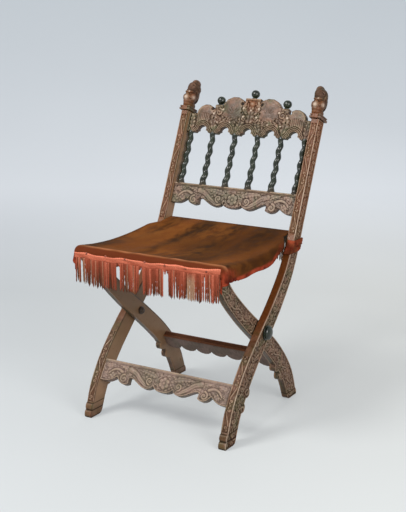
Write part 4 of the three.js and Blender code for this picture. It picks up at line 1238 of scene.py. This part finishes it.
class ShortLegsOperator(bpy.types.Operator):
    """Carve the two short legs with running foliage"""
    bl_idname = "church_chair.short_legs"
    bl_label = "Short legs"

    def execute(self, context):
        for name, side in SIDES:
            carve_leg("short_leg_" + name, side, upper_is_plain=True, middles=([0, 1000], [27.5, 27.5]),
                      runs=[(12, 236, 82, 20), (292, 440, 82, 20)],
                      eyes=[(42.5, 128), (76.5, 87), (-2.5, 145), (30.5, 103)],
                      edge_runs=[], reeds=[(4, 20, 3.0)],
                      heel=14, sizes=sizes_of(context), body="seat_frame")
        return {"FINISHED"}


class CrestOperator(bpy.types.Operator):
    """Carve the crest rail above its row of arches"""
    bl_idname = "church_chair.crest"
    bl_label = "Crest rail"

    def execute(self, context):
        carve_board("crest_rail", board_axes("crest_rail", RAKE), crest_design, crest_back, sizes_of(context),
                    "back_frame", lambda x, y: ramp(1 - np.abs(x) / 29) ** 0.5 * ramp(y + 45, 25) * 0.8)
        return {"FINISHED"}


class RailsOperator(bpy.types.Operator):
    """Carve the lower back rail and the two stretchers"""
    bl_idname = "church_chair.rails"
    bl_label = "Rails"

    def execute(self, context):
        sizes = sizes_of(context)
        for node, tilt, bleached in (("lower_back_rail", RAKE, 0.3), ("front_stretcher", FRONT_STRETCHER_TILT, 0.8)):
            axes = board_axes(node, tilt)
            height = -axes.span(node)[0][1]
            carve_board(node, axes, scroll_rail_design(height), back_bead, sizes, "back_frame", bleached=bleached)
        # The rear stretcher's top and edges get painted shade, and its face is painted paler against the shade on it.
        carve_board("rear_stretcher", board_axes("rear_stretcher", REAR_STRETCHER_TILT), plain_rail_design,
                    back_bead, sizes, "seat_frame", lambda x, y: np.where(y > -2.0, 0.85, 0.1), 1.0, -0.95)
        for node in ("front_seat_rail", "rear_seat_rail"):
            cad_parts[node].data.materials[0] = finish("oak", sizes)
        return {"FINISHED"}


class SpindlesOperator(bpy.types.Operator):
    """Turn and twist the six black spindles"""
    bl_idname = "church_chair.spindles"
    bl_label = "Spindles"

    def execute(self, context):
        for i in range(6):
            twisted_spindle("spindle_%d" % (i + 1), sizes_of(context))
        return {"FINISHED"}


class BallsOperator(bpy.types.Operator):
    """Turn the three black balls of the crest"""
    bl_idname = "church_chair.balls"
    bl_label = "Crest balls"

    def execute(self, context):
        for name in ("left", "centre", "right"):
            node = "crest_ball_" + name
            axes, size = standing_axes(node)
            radius = size[0] / 2
            centre = size[1] - radius
            foot = centre - radius
            profile = [(0, 0), (3.6, 0), (3.8, 0.6), (3.8, foot - 3), (7.4, foot - 2.6), (7.6, foot - 1.2),
                       (6.0, foot + 0.2), (5.2, centre - radius * 0.93)]
            for step in range(3, 33):
                angle = math.pi * (step / 32 - 0.5)
                profile.append((max(radius * math.cos(angle), 0), centre + radius * math.sin(angle)))
            place_piece(node + "_turned", turned(profile, axes), finish("black", sizes_of(context)),
                        "back_frame", [node])
        return {"FINISHED"}


# A head is set out in shares of its half width, its height and its half depth.
HEAD_HEIGHT = 86.4
# Lines cut on both sides of a head, with half width and depth in millimetres.
HEAD_CUTS = [(((0.24, 0.445, 1.0), (0.60, 0.45, 0.84)), 3.4, 4.4),
             (((0.02, 0.205, 1.05), (0.45, 0.215, 0.9), (0.85, 0.27, 0.5)), 1.8, 2.4),
             (((0.16, 0.39, 1.05), (0.34, 0.29, 1.0), (0.60, 0.23, 0.8)), 1.5, 1.5),
             (((1.0, 0.52, 0.26), (1.02, 0.36, -0.14), (0.9, 0.2, -0.1)), 3.2, 3.2),
             (((0.9, 0.24, -0.34), (0.8, 0.04, -0.40)), 7.0, 4.5),
             (((0.52, 0.74, 0.62), (0.66, 0.70, 0.46)), 3.4, 3.2)]
for i, back in enumerate(-0.85 + 0.36 * i for i in range(5)):
    HEAD_CUTS.append((((0.5, 0.88 - 0.03 * i, 0.25 * back), (1.0, 0.72 - 0.02 * i, back * 0.6 + 0.1),
                       (0.95, 0.56 + 0.01 * i, back * 0.95 + 0.1)), 1.8, 1.5))
# Painted highlights, with their reach in millimetres.
HEAD_PAINTED_HIGHLIGHTS = (((-0.1, 0.27, 0.98), 7.0), ((0.84, 0.30, 0.5), 5.5), ((-0.84, 0.30, 0.5), 5.5),
              ((0.2, 0.51, 0.86), 3.0))


class FinialsOperator(bpy.types.Operator):
    """Model the two carved heads and their stepped collars"""
    bl_idname = "church_chair.finials"
    bl_label = "Finials"

    def execute(self, context):
        sizes = sizes_of(context)
        for name, side in SIDES:
            self.collar("collar_" + name, sizes)
            self.head("finial_head_" + name, side, sizes)
        return {"FINISHED"}

    def collar(self, node, sizes):
        """Three steps, the middle one set back, and a tongue down the front."""
        axes = raked(RAKE)
        low, high = axes.span(node)
        middle, size = (low + high) / 2, high - low
        blocks = [(first, last, size[0] - inset * 2, size[2] - inset * 2, middle[2])
                  for first, last, inset in ((0, 0.52, 0.0), (0.5, 0.74, 2.2), (0.72, 1.0, 0.6))]
        blocks.append((0, 1.0, 17, 3, high[2] - 1.0))
        bm = bmesh.new()
        for first, last, wide, deep, out in blocks:
            tall = (last - first) * size[1]
            matrix = (Matrix.Translation((middle[0], low[1] + first * size[1] + tall / 2, out))
                      @ Matrix.Diagonal((wide, tall, deep, 1)))
            made = bmesh.ops.create_cube(bm, size=1)["verts"]
            bmesh.ops.transform(bm, matrix=matrix, verts=made)
        bmesh.ops.bevel(bm, geom=bm.edges[:], offset=0.9, affect="EDGES", segments=2, profile=0.5, material=-1)
        mesh = remeshed(mesh_from(bm, node), FINE_VOXEL)
        p = places(mesh)
        # Painted shade: the collar is darker in its hollows.
        carve = -0.15 - hollows(mesh) * 2.0 + 0.3 * ripple(p[:, 0] * 0.5, p[:, 1] * 0.5)
        tongue = (np.abs(p[:, 0] - middle[0]) < 9) & (p[:, 2] > high[2] - 1.2)
        write_places(mesh, axes.world(p) * MM)
        mesh.shade_smooth()
        add_values(mesh, carve=carve, warm=0.15 + 0.5 * tongue)
        place_piece(node + "_stepped", mesh, finish("oak", sizes), "back_frame", [node])

    def head(self, node, side, sizes):
        """Rounded masses that run into one another, with lines cut between them."""
        axes = raked(RAKE)
        low, high = axes.span(node)
        unit = np.array([(high[0] - low[0]) / 2, HEAD_HEIGHT, (high[2] - low[2]) / 2])
        origin = np.array([(low[0] + high[0]) / 2, high[1] - HEAD_HEIGHT, (low[2] + high[2]) / 2])
        axes = raked(RAKE, axes.world(origin))
        # Centre, half size and turn of each mass.
        masses = (
            ((0, 0.07, 0.12), (0.82, 0.16, 0.78), 0.0), ((0, 0.17, 0.32), (0.84, 0.14, 0.58), 0.0),
            ((0, 0.45, -0.04), (0.90, 0.30, 0.80), 0.0), ((0, 0.28, 0.56), (0.74, 0.14, 0.43), -0.25),
            ((0.60, 0.31, 0.30), (0.40, 0.15, 0.46), 0.0), ((-0.60, 0.31, 0.30), (0.40, 0.15, 0.46), 0.0),
            ((0, 0.505, 0.56), (0.72, 0.06, 0.30), 0.3), ((0, 0.37, 0.84), (0.30, 0.075, 0.15), 0.0),
            ((-side * 0.10, 0.67, -0.08), (0.93, 0.25, 0.82), 0.0),
            ((-side * 0.16, 0.70, 0.28), (0.72, 0.18, 0.48), 0.4),
            ((-side * 0.34, 0.845, -0.04), (0.60, 0.155, 0.56), 0.0), ((0, 0.47, -0.60), (0.66, 0.30, 0.36), 0.0),
            ((0.80, 0.57, 0.02), (0.20, 0.12, 0.28), -0.5), ((-0.80, 0.57, 0.02), (0.20, 0.12, 0.28), -0.5),
        )
        bm = bmesh.new()
        for centre, half, turn in masses:
            blob(bm, tuple(centre * unit), tuple(half * unit), turn)
        mesh = remeshed(mesh_from(bm, node), FINE_VOXEL)
        with edited(mesh) as bm:
            soften(bm, 6)
        p = places(mesh)
        core = np.array([0, 0.45 * HEAD_HEIGHT, 0])
        for sign in (-1, 1):
            for way, half, cut in HEAD_CUTS:
                p = cut_stroke(p, np.array(way) * (sign, 1, 1) * unit, half, cut, core)
        p[:, 0] *= min(1.0, unit[0] / np.abs(p[:, 0]).max())
        p[:, 1] = np.clip(p[:, 1], -0.35, None)
        write_places(mesh, p)
        hollow = hollows(mesh, 10)
        write_places(mesh, axes.world(p) * MM)
        mesh.shade_smooth()
        at = p / unit
        face = ramp(at[:, 2] * 1.6 + 0.1) * ramp(0.53 - at[:, 1], 0.08)
        painted_shade_behind = ramp(0.36 - at[:, 1], 0.12) * ramp(0.1 - at[:, 2] * 1.4)
        # Painted highlights on the muzzle, the cheeks and the brow.
        painted_highlight = np.zeros(len(p))
        for spot, reach in HEAD_PAINTED_HIGHLIGHTS:
            gap = np.linalg.norm(p - spot * unit, axis=1)
            painted_highlight = np.maximum(painted_highlight, 0.75 * np.exp(-(gap / reach * 1.1) ** 2))
        # Painted shade: darker in the hollows and behind the jaw, a little lighter over the face.
        carve = -0.5 - hollow * 2.4 + 0.15 * face - 1.2 * painted_shade_behind
        add_values(mesh, carve=carve, warm=ramp(0.12 + 0.42 * face), bright=painted_highlight)
        place_piece(node + "_carved", mesh, finish("oak", sizes), "back_frame", [node])


# Radius and height, as shares of the fitting's own.
BOSS_PROFILE = [(0.86, 0), (1.0, 0.1), (1.0, 0.2), (0.86, 0.27), (0.84, 0.32), (0.93, 0.42), (0.9, 0.58),
                (0.78, 0.75), (0.55, 0.9), (0.28, 0.98), (0, 1.0)]
NUT_PROFILE = [(1.0, 0), (1.0, 0.4), (0.92, 0.52), (0.7, 0.62), (0.66, 0.8), (0.45, 0.95), (0, 1.0)]


class FittingsOperator(bpy.types.Operator):
    """Turn the bosses and nuts of the pivot and finish the ironwork"""
    bl_idname = "church_chair.fittings"
    bl_label = "Pivot fittings"

    def execute(self, context):
        sizes = sizes_of(context)
        for name, side in SIDES:
            for node, points, way, look in (("pivot_boss_" + name, BOSS_PROFILE, side, "black"),
                                            ("pivot_nut_" + name, NUT_PROFILE, -side, "nut")):
                low, high = box_mm(node)
                centre, tall, radius = (low + high) / 2, high[0] - low[0], (high[2] - low[2]) / 2
                axes = Axes((low[0] if way > 0 else high[0], centre[1], centre[2]), (0, 0, 1), (way, 0, 0), (0, 1, 0))
                profile = [(0, 0)] + smooth_curve([(r * radius, up * tall) for r, up in points], 5).tolist()
                mesh = turned([(max(r, 0), up) for r, up in profile], axes)
                place_piece(node + "_turned", mesh, finish(look, sizes), "back_frame", [node])
        for node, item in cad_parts.items():
            if "bolt" in node or "washer" in node:
                item.data.materials[0] = finish("iron", sizes)
            elif "tack" in node:
                item.data.materials[0] = finish("tack", sizes)
        return {"FINISHED"}


class VelvetOperator(bpy.types.Operator):
    """Lay the velvet sling over its rails and wrap the posts"""
    bl_idname = "church_chair.velvet"
    bl_label = "Velvet seat"

    def execute(self, context):
        sizes = sizes_of(context)
        self.sling(sizes)
        for name, side in SIDES:
            self.wrap("post_wrap_" + name, side, sizes)
        return {"FINISHED"}

    def sling(self, sizes):
        section = cloth_section()
        run = np.concatenate([[0], np.cumsum(np.hypot(*np.diff(section, axis=0).T))])
        low, high = box_mm("seat_sling")
        thick, bend, step, drop, slope = 2.2, 13.0, 3.2, 35.0, math.radians(78)
        # Half widths: over the short legs at the front, and between the posts at the rear.
        wide = high[0] - thick - bend - 1.0
        narrow = box_mm("long_leg_right")[0][0] - thick - 0.6
        beyond = wide + drop + bend - narrow
        corners = node_corners("seat_sling")
        wide_back = corners[np.abs(corners[:, 0]) > narrow + 6][:, 1].max()

        # A flat grid: across from the middle to both hems, along from the rear lip to the front one.
        top_half = np.concatenate([np.linspace(0, narrow, int(narrow / step) + 1),
                                   np.linspace(narrow, wide, int(round((wide - narrow) / step)) + 1)[1:],
                                   wide + np.linspace(0, drop + bend, int((drop + bend) / step) + 1)[1:]])
        across_at = np.concatenate([-top_half[:0:-1], top_half])
        along_at = np.linspace(0, run[-1], int(run[-1] / step) + 1)
        bm = bmesh.new()
        bmesh.ops.create_grid(bm, x_segments=len(across_at) - 1, y_segments=len(along_at) - 1, size=1)
        mesh = mesh_from(bm, "seat_sling_velvet")
        flat = (places(mesh) + 1) / 2
        u = across_at[np.rint(flat[:, 0] * (len(across_at) - 1)).astype(int)]
        v = along_at[np.rint(flat[:, 1] * (len(along_at) - 1)).astype(int)]
        y, z = (np.interp(v, run, line) for line in section.T)

        # The cloth narrows towards the posts and bends down over the short legs.
        side = np.sign(u)
        reach_out = beyond * (1 - 0.94 * ramp(y - wide_back + 125, 125) ** 1.1)
        u = side * (np.minimum(np.abs(u), narrow) + np.clip(np.abs(u) - narrow, 0, None) * reach_out / beyond)
        size = np.abs(u)
        over = np.clip(size - wide, 0, None)
        angle = np.clip(over / bend, 0, slope)
        hang = np.clip(over - bend * slope, 0, None)
        x = np.clip(u, -wide, wide) + side * (bend * np.sin(angle) + hang * math.cos(slope))

        # It sags between the rails and lies slack over the front one.
        inside = ramp(size, wide)
        middle = ramp(y + 290, 60) * ramp(120 - y, 60)
        z = z - 3.0 * middle * np.cos(inside * math.pi / 2)
        z = z + middle * (1.6 * ripple(x * 0.018, y * 0.02, 1.0) * (1 - inside**4)
                          + 1.4 * np.sin(size * 0.06 + y * 0.012))
        z = z + ramp(low[1] + 34 - y, 16) * 0.9 * ripple(x * 0.045, y * 0.02, 3.0) * (1 - inside**6)

        # The drops wave, and gather in folds at the front corners.
        depth = 1.0 - 0.4 * ramp(y - low[1], wide_back - low[1]) + 0.05 * np.sin(y * 0.05)
        wave = ramp(over, drop + bend)
        corner = ramp(1 - (y - low[1]) / 80)
        tuck = ramp(low[1] + 14 - y, 12)
        side_wave = np.sin(y * 0.06 + 0.6) * 1.6 + np.sin(y * 0.15) * 0.7
        fold = corner * (4.2 * np.sin(y * 0.36 + 1.2) + 1.5 * np.sin(y * 0.83) + 1.0)
        x = x + side * wave * (side_wave * 0.5 + fold) * (1 - 0.6 * ramp(y - 20, 60))
        x = x - side * tuck * wave * 10
        fall = bend * (1 - np.cos(angle)) + hang * math.sin(slope) * depth * (1 + 0.2 * tuck)
        z = z - fall + corner * wave * 3.0 * np.sin(y * 0.45)
        write_places(mesh, np.column_stack([x, y, z]) * MM)

        # Its colours run along the hem and the front lip, with a painted highlight along the lip's crest and painted
        # shade down the side drops.
        edge = (narrow + reach_out - size) * depth
        hem = ramp(13 - edge, 5) * ramp(over, 6) * (1 - 0.85 * ramp(y + 60, 90))
        hem = np.maximum(hem, corner**0.7 * ramp(over - 8, 14))
        left = run[-1] - v
        blush = ramp(1.2 - np.abs(left - 38) / 6.5) * (0.75 + 0.35 * ripple(x * 0.05, z * 0.2))
        # Painted shade: the side drops darken towards the rear, and the hem along them a little.
        dim = np.maximum(0.55 * ramp(over, 14) * ramp(y + 120, 120),
                         0.35 * hem * (1 - corner) * (1 + 0.5 * ripple(y * 0.06, over * 0.1)))
        add_values(mesh, hem=ramp(hem), blush=blush, front=ramp(34 - left, 4), dim=ramp(dim))
        with edited(mesh) as bm:
            gone = [f for f in bm.faces if abs(f.calc_center_median().x) / MM > narrow
                    and f.calc_center_median().y / MM > wide_back]
            bmesh.ops.delete(bm, geom=gone, context="FACES")
            bmesh.ops.recalc_face_normals(bm, faces=bm.faces)
        if mesh.polygons[len(mesh.polygons) // 2].normal.z < 0:
            mesh.flip_normals()
        mesh.shade_smooth()
        piece = place_piece("seat_sling_velvet", mesh, finish("velvet", sizes), None, ["seat_sling"])
        wall = piece.modifiers.new("Cloth thickness", "SOLIDIFY")
        wall.thickness = thick * MM
        wall.offset = 1.0
        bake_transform(piece)

    def wrap(self, node, side, sizes):
        """A puffed corner of cloth, drawn in at both ends."""
        axes = leg_axes(side)
        mesh = carving_block(node, axes, 1.3)
        p = places(mesh)
        low, high = axes.span(node)
        on = p[:, 2] > high[2] - 1.4
        up = ramp(p[:, 0] - low[0], high[0] - low[0])
        bulge = np.sin(up * math.pi) ** 0.6 * (2.4 + 1.6 * ripple(p[:, 0] * 0.25, p[:, 1] * 0.12, 2.0))
        p[on, 2] += bulge[on]
        p[:, 0] = high[0] - 6 + (p[:, 0] - high[0] + 6) * 0.7
        finish_block(mesh, axes, p)
        # The wrap gets patchy painted shade and a little painted sheen.
        add_values(mesh, hem=ramp(0.55 + 0.4 * ripple(p[:, 0] * 0.1, p[:, 1] * 0.1)), blush=0.2, front=0.7,
                   dim=ramp(0.25 + 0.3 * ripple(p[:, 0] * 0.2 + 1, p[:, 1] * 0.15)))
        piece = place_piece(node + "_velvet", mesh, finish("velvet", sizes), "back_frame", [node])


# The strand count is for this half width. Gaps: places across where strands are worn short, and
# how far each reaches.
FULL_HALF = 222
FRONT_GAPS = ((62, 6.5), (-84, 4.5), (-12, 5.5), (-200, 2.5), (176, 2.2))
REAR_GAPS = ((30, 5),)


class FringeOperator(bpy.types.Operator):
    """Hang the coral strands from their braid, front and rear"""
    bl_idname = "church_chair.fringe"
    bl_label = "Fringe"

    def execute(self, context):
        sizes = sizes_of(context)
        self.fringe("front_fringe", -1, "seat_frame", sizes, 7, FRONT_GAPS)
        self.fringe("rear_fringe", 1, "back_frame", sizes, 11, REAR_GAPS)
        return {"FINISHED"}

    def fringe(self, node, way, body, sizes, seed, gaps):
        low, high = box_mm(node)
        half = (high[0] - low[0]) / 2
        top, tall = high[2], 15.0
        face = high[1] if way < 0 else low[1]
        count = int(sizes.strand_count * half / FULL_HALF)
        around, levels = 6, 14
        rng = np.random.default_rng(seed)
        bm = bmesh.new()
        bmesh.ops.create_grid(bm, x_segments=int(half * 2), y_segments=20, size=1)
        woven = len(bm.verts)
        for _ in range(count):
            bmesh.ops.create_grid(bm, x_segments=around, y_segments=levels, size=1)
        mesh = mesh_from(bm, node + "_strands")
        flat = places(mesh)
        out, tone, pale = np.zeros((len(flat), 3)), np.zeros(len(flat)), np.zeros(len(flat))

        def slip(across):
            """How far the braid hangs below the rail's top: most at the left end."""
            share = ramp(across + half, 2 * half)
            low_end = 9.0 * (1 - share**2.4) if way < 0 else 2.0
            return low_end + 1.3 * np.sin(across * 0.045 + 1.0) + 0.7 * np.sin(across * 0.11)

        # The braid: a plaited band between two cords, closed round its back.
        across = flat[:woven, 0] * half
        loop = (flat[:woven, 1] + 1) * math.pi
        up, proud = np.sin(loop) * 0.5, np.cos(loop)
        level = np.sign(up) * (np.abs(up) * 2) ** 0.8
        cord = rounded((np.abs(level) - 0.76) / 0.24)
        lace = ramp(1 - np.abs(level) / 0.52) ** 0.5
        coil = np.abs(np.sin(across * math.pi / 3.2 + level * 2.4))
        plait = np.abs(np.sin(across * math.pi / 5.6 + level * 4.0)) * lace
        thick = 1.6 + 2.2 * cord + 0.7 * coil * cord + 1.5 * plait
        out[:woven, 0] = across
        out[:woven, 1] = face + way * np.where(proud < 0, 0.2, 0.8 + np.abs(proud) ** 0.5 * thick)
        out[:woven, 2] = top - slip(across) - tall / 2 + level * (tall / 2 + 0.5 * np.sin(across * 1.1))
        tone[:woven] = (0.42 - 0.4 * ramp(level * 2.2 - 0.2) + 0.14 * np.sin(across * math.pi / 1.75)
                        - 0.12 * plait + 0.14 * ripple(across * 0.05, level) + rng.normal(0, 0.03, woven))

        # The strands: tubes that hang from it, each with its own lean, length and colour.
        size = (around + 1) * (levels + 1)
        reach = half - 3
        for i in range(count):
            block = slice(woven + i * size, woven + (i + 1) * size)
            place = flat[block]
            middle = -reach + 2 * reach * (i + 0.5) / count + rng.normal(0, 0.2)
            length = sizes.strand_length / MM * (1 + rng.normal(0, 0.03)) - 4 * (middle < -half * 0.8)
            if any(abs(middle - at) < wide for at, wide in gaps):
                length *= rng.uniform(0.1, 0.2)
            angle = (place[:, 0] + 1) * math.pi
            fall = (1 - place[:, 1]) / 2
            lean, swing = rng.normal(0, 1.1), rng.normal(0, 1.0)
            twist = 1 + 0.2 * np.cos(2 * angle - fall * length * 0.8)
            radius = (2.35 - 0.7 * fall) * twist * np.where(fall > 0.985, 0.25, 1) * rng.uniform(0.88, 1.1)
            out[block, 0] = middle + lean * fall**1.5 + radius * np.cos(angle)
            out[block, 1] = face + way * (1.9 + swing * fall * 0.8) + radius * np.sin(angle) * 0.85
            out[block, 2] = top - slip(middle) - tall + 2.5 - fall * length
            dark_end = 0.4 * ramp(-middle - half * 0.5, half * 0.4)
            bunch = 0.16 * math.sin(middle * 0.21 + 1.3 * math.sin(middle * 0.067))
            tone[block] = ramp(0.4 + 0.36 * fall + (dark_end + bunch) * fall + bunch * 0.4 + rng.normal(0, 0.1))
            if way < 0 and 128 < middle < 150:
                pale[block] = 0.75 * ramp(fall * 3)
            elif way > 0:
                pale[block] = rng.choice([0.05, 0.1, 0.7])
                tone[block] = 0.9
            elif rng.random() < 0.14:
                pale[block] = 0.35
        write_places(mesh, out * MM)
        add_values(mesh, tone=tone, pale=pale)
        with edited(mesh) as bm:
            bmesh.ops.remove_doubles(bm, verts=bm.verts, dist=0.00003)
            bmesh.ops.holes_fill(bm, edges=[e for e in bm.edges if e.is_boundary], sides=0)
            bmesh.ops.recalc_face_normals(bm, faces=bm.faces)
        mesh.shade_smooth()
        place_piece(node + "_strands", mesh, finish("braid", sizes), body, [node])


OPERATORS = (StageOperator, LongLegsOperator, ShortLegsOperator, CrestOperator, RailsOperator, SpindlesOperator,
             BallsOperator, FinialsOperator, FittingsOperator, VelvetOperator, FringeOperator)


class ChairPanel(bpy.types.Panel):
    """Sizes, colours and pieces of the church chair"""
    bl_idname = "VIEW3D_PT_church_chair"
    bl_label = "Church chair"
    bl_space_type = "VIEW_3D"
    bl_region_type = "UI"
    bl_category = "Church chair"

    def draw(self, context):
        for name in ChairSizes.__annotations__:
            self.layout.prop(context.scene.church_chair, name)
        for operator in OPERATORS:
            self.layout.operator(operator.bl_idname)


CLASSES = (ChairSizes, *OPERATORS, ChairPanel)


def register():
    for item in CLASSES:
        bpy.utils.register_class(item)
    bpy.types.Scene.church_chair = PointerProperty(type=ChairSizes)


def unregister():
    del bpy.types.Scene.church_chair
    for item in reversed(CLASSES):
        bpy.utils.unregister_class(item)


def main():
    register()
    for operator in OPERATORS:
        area, name = operator.bl_idname.split(".")
        getattr(getattr(bpy.ops, area), name)()


if __name__ == "__main__":
    main()
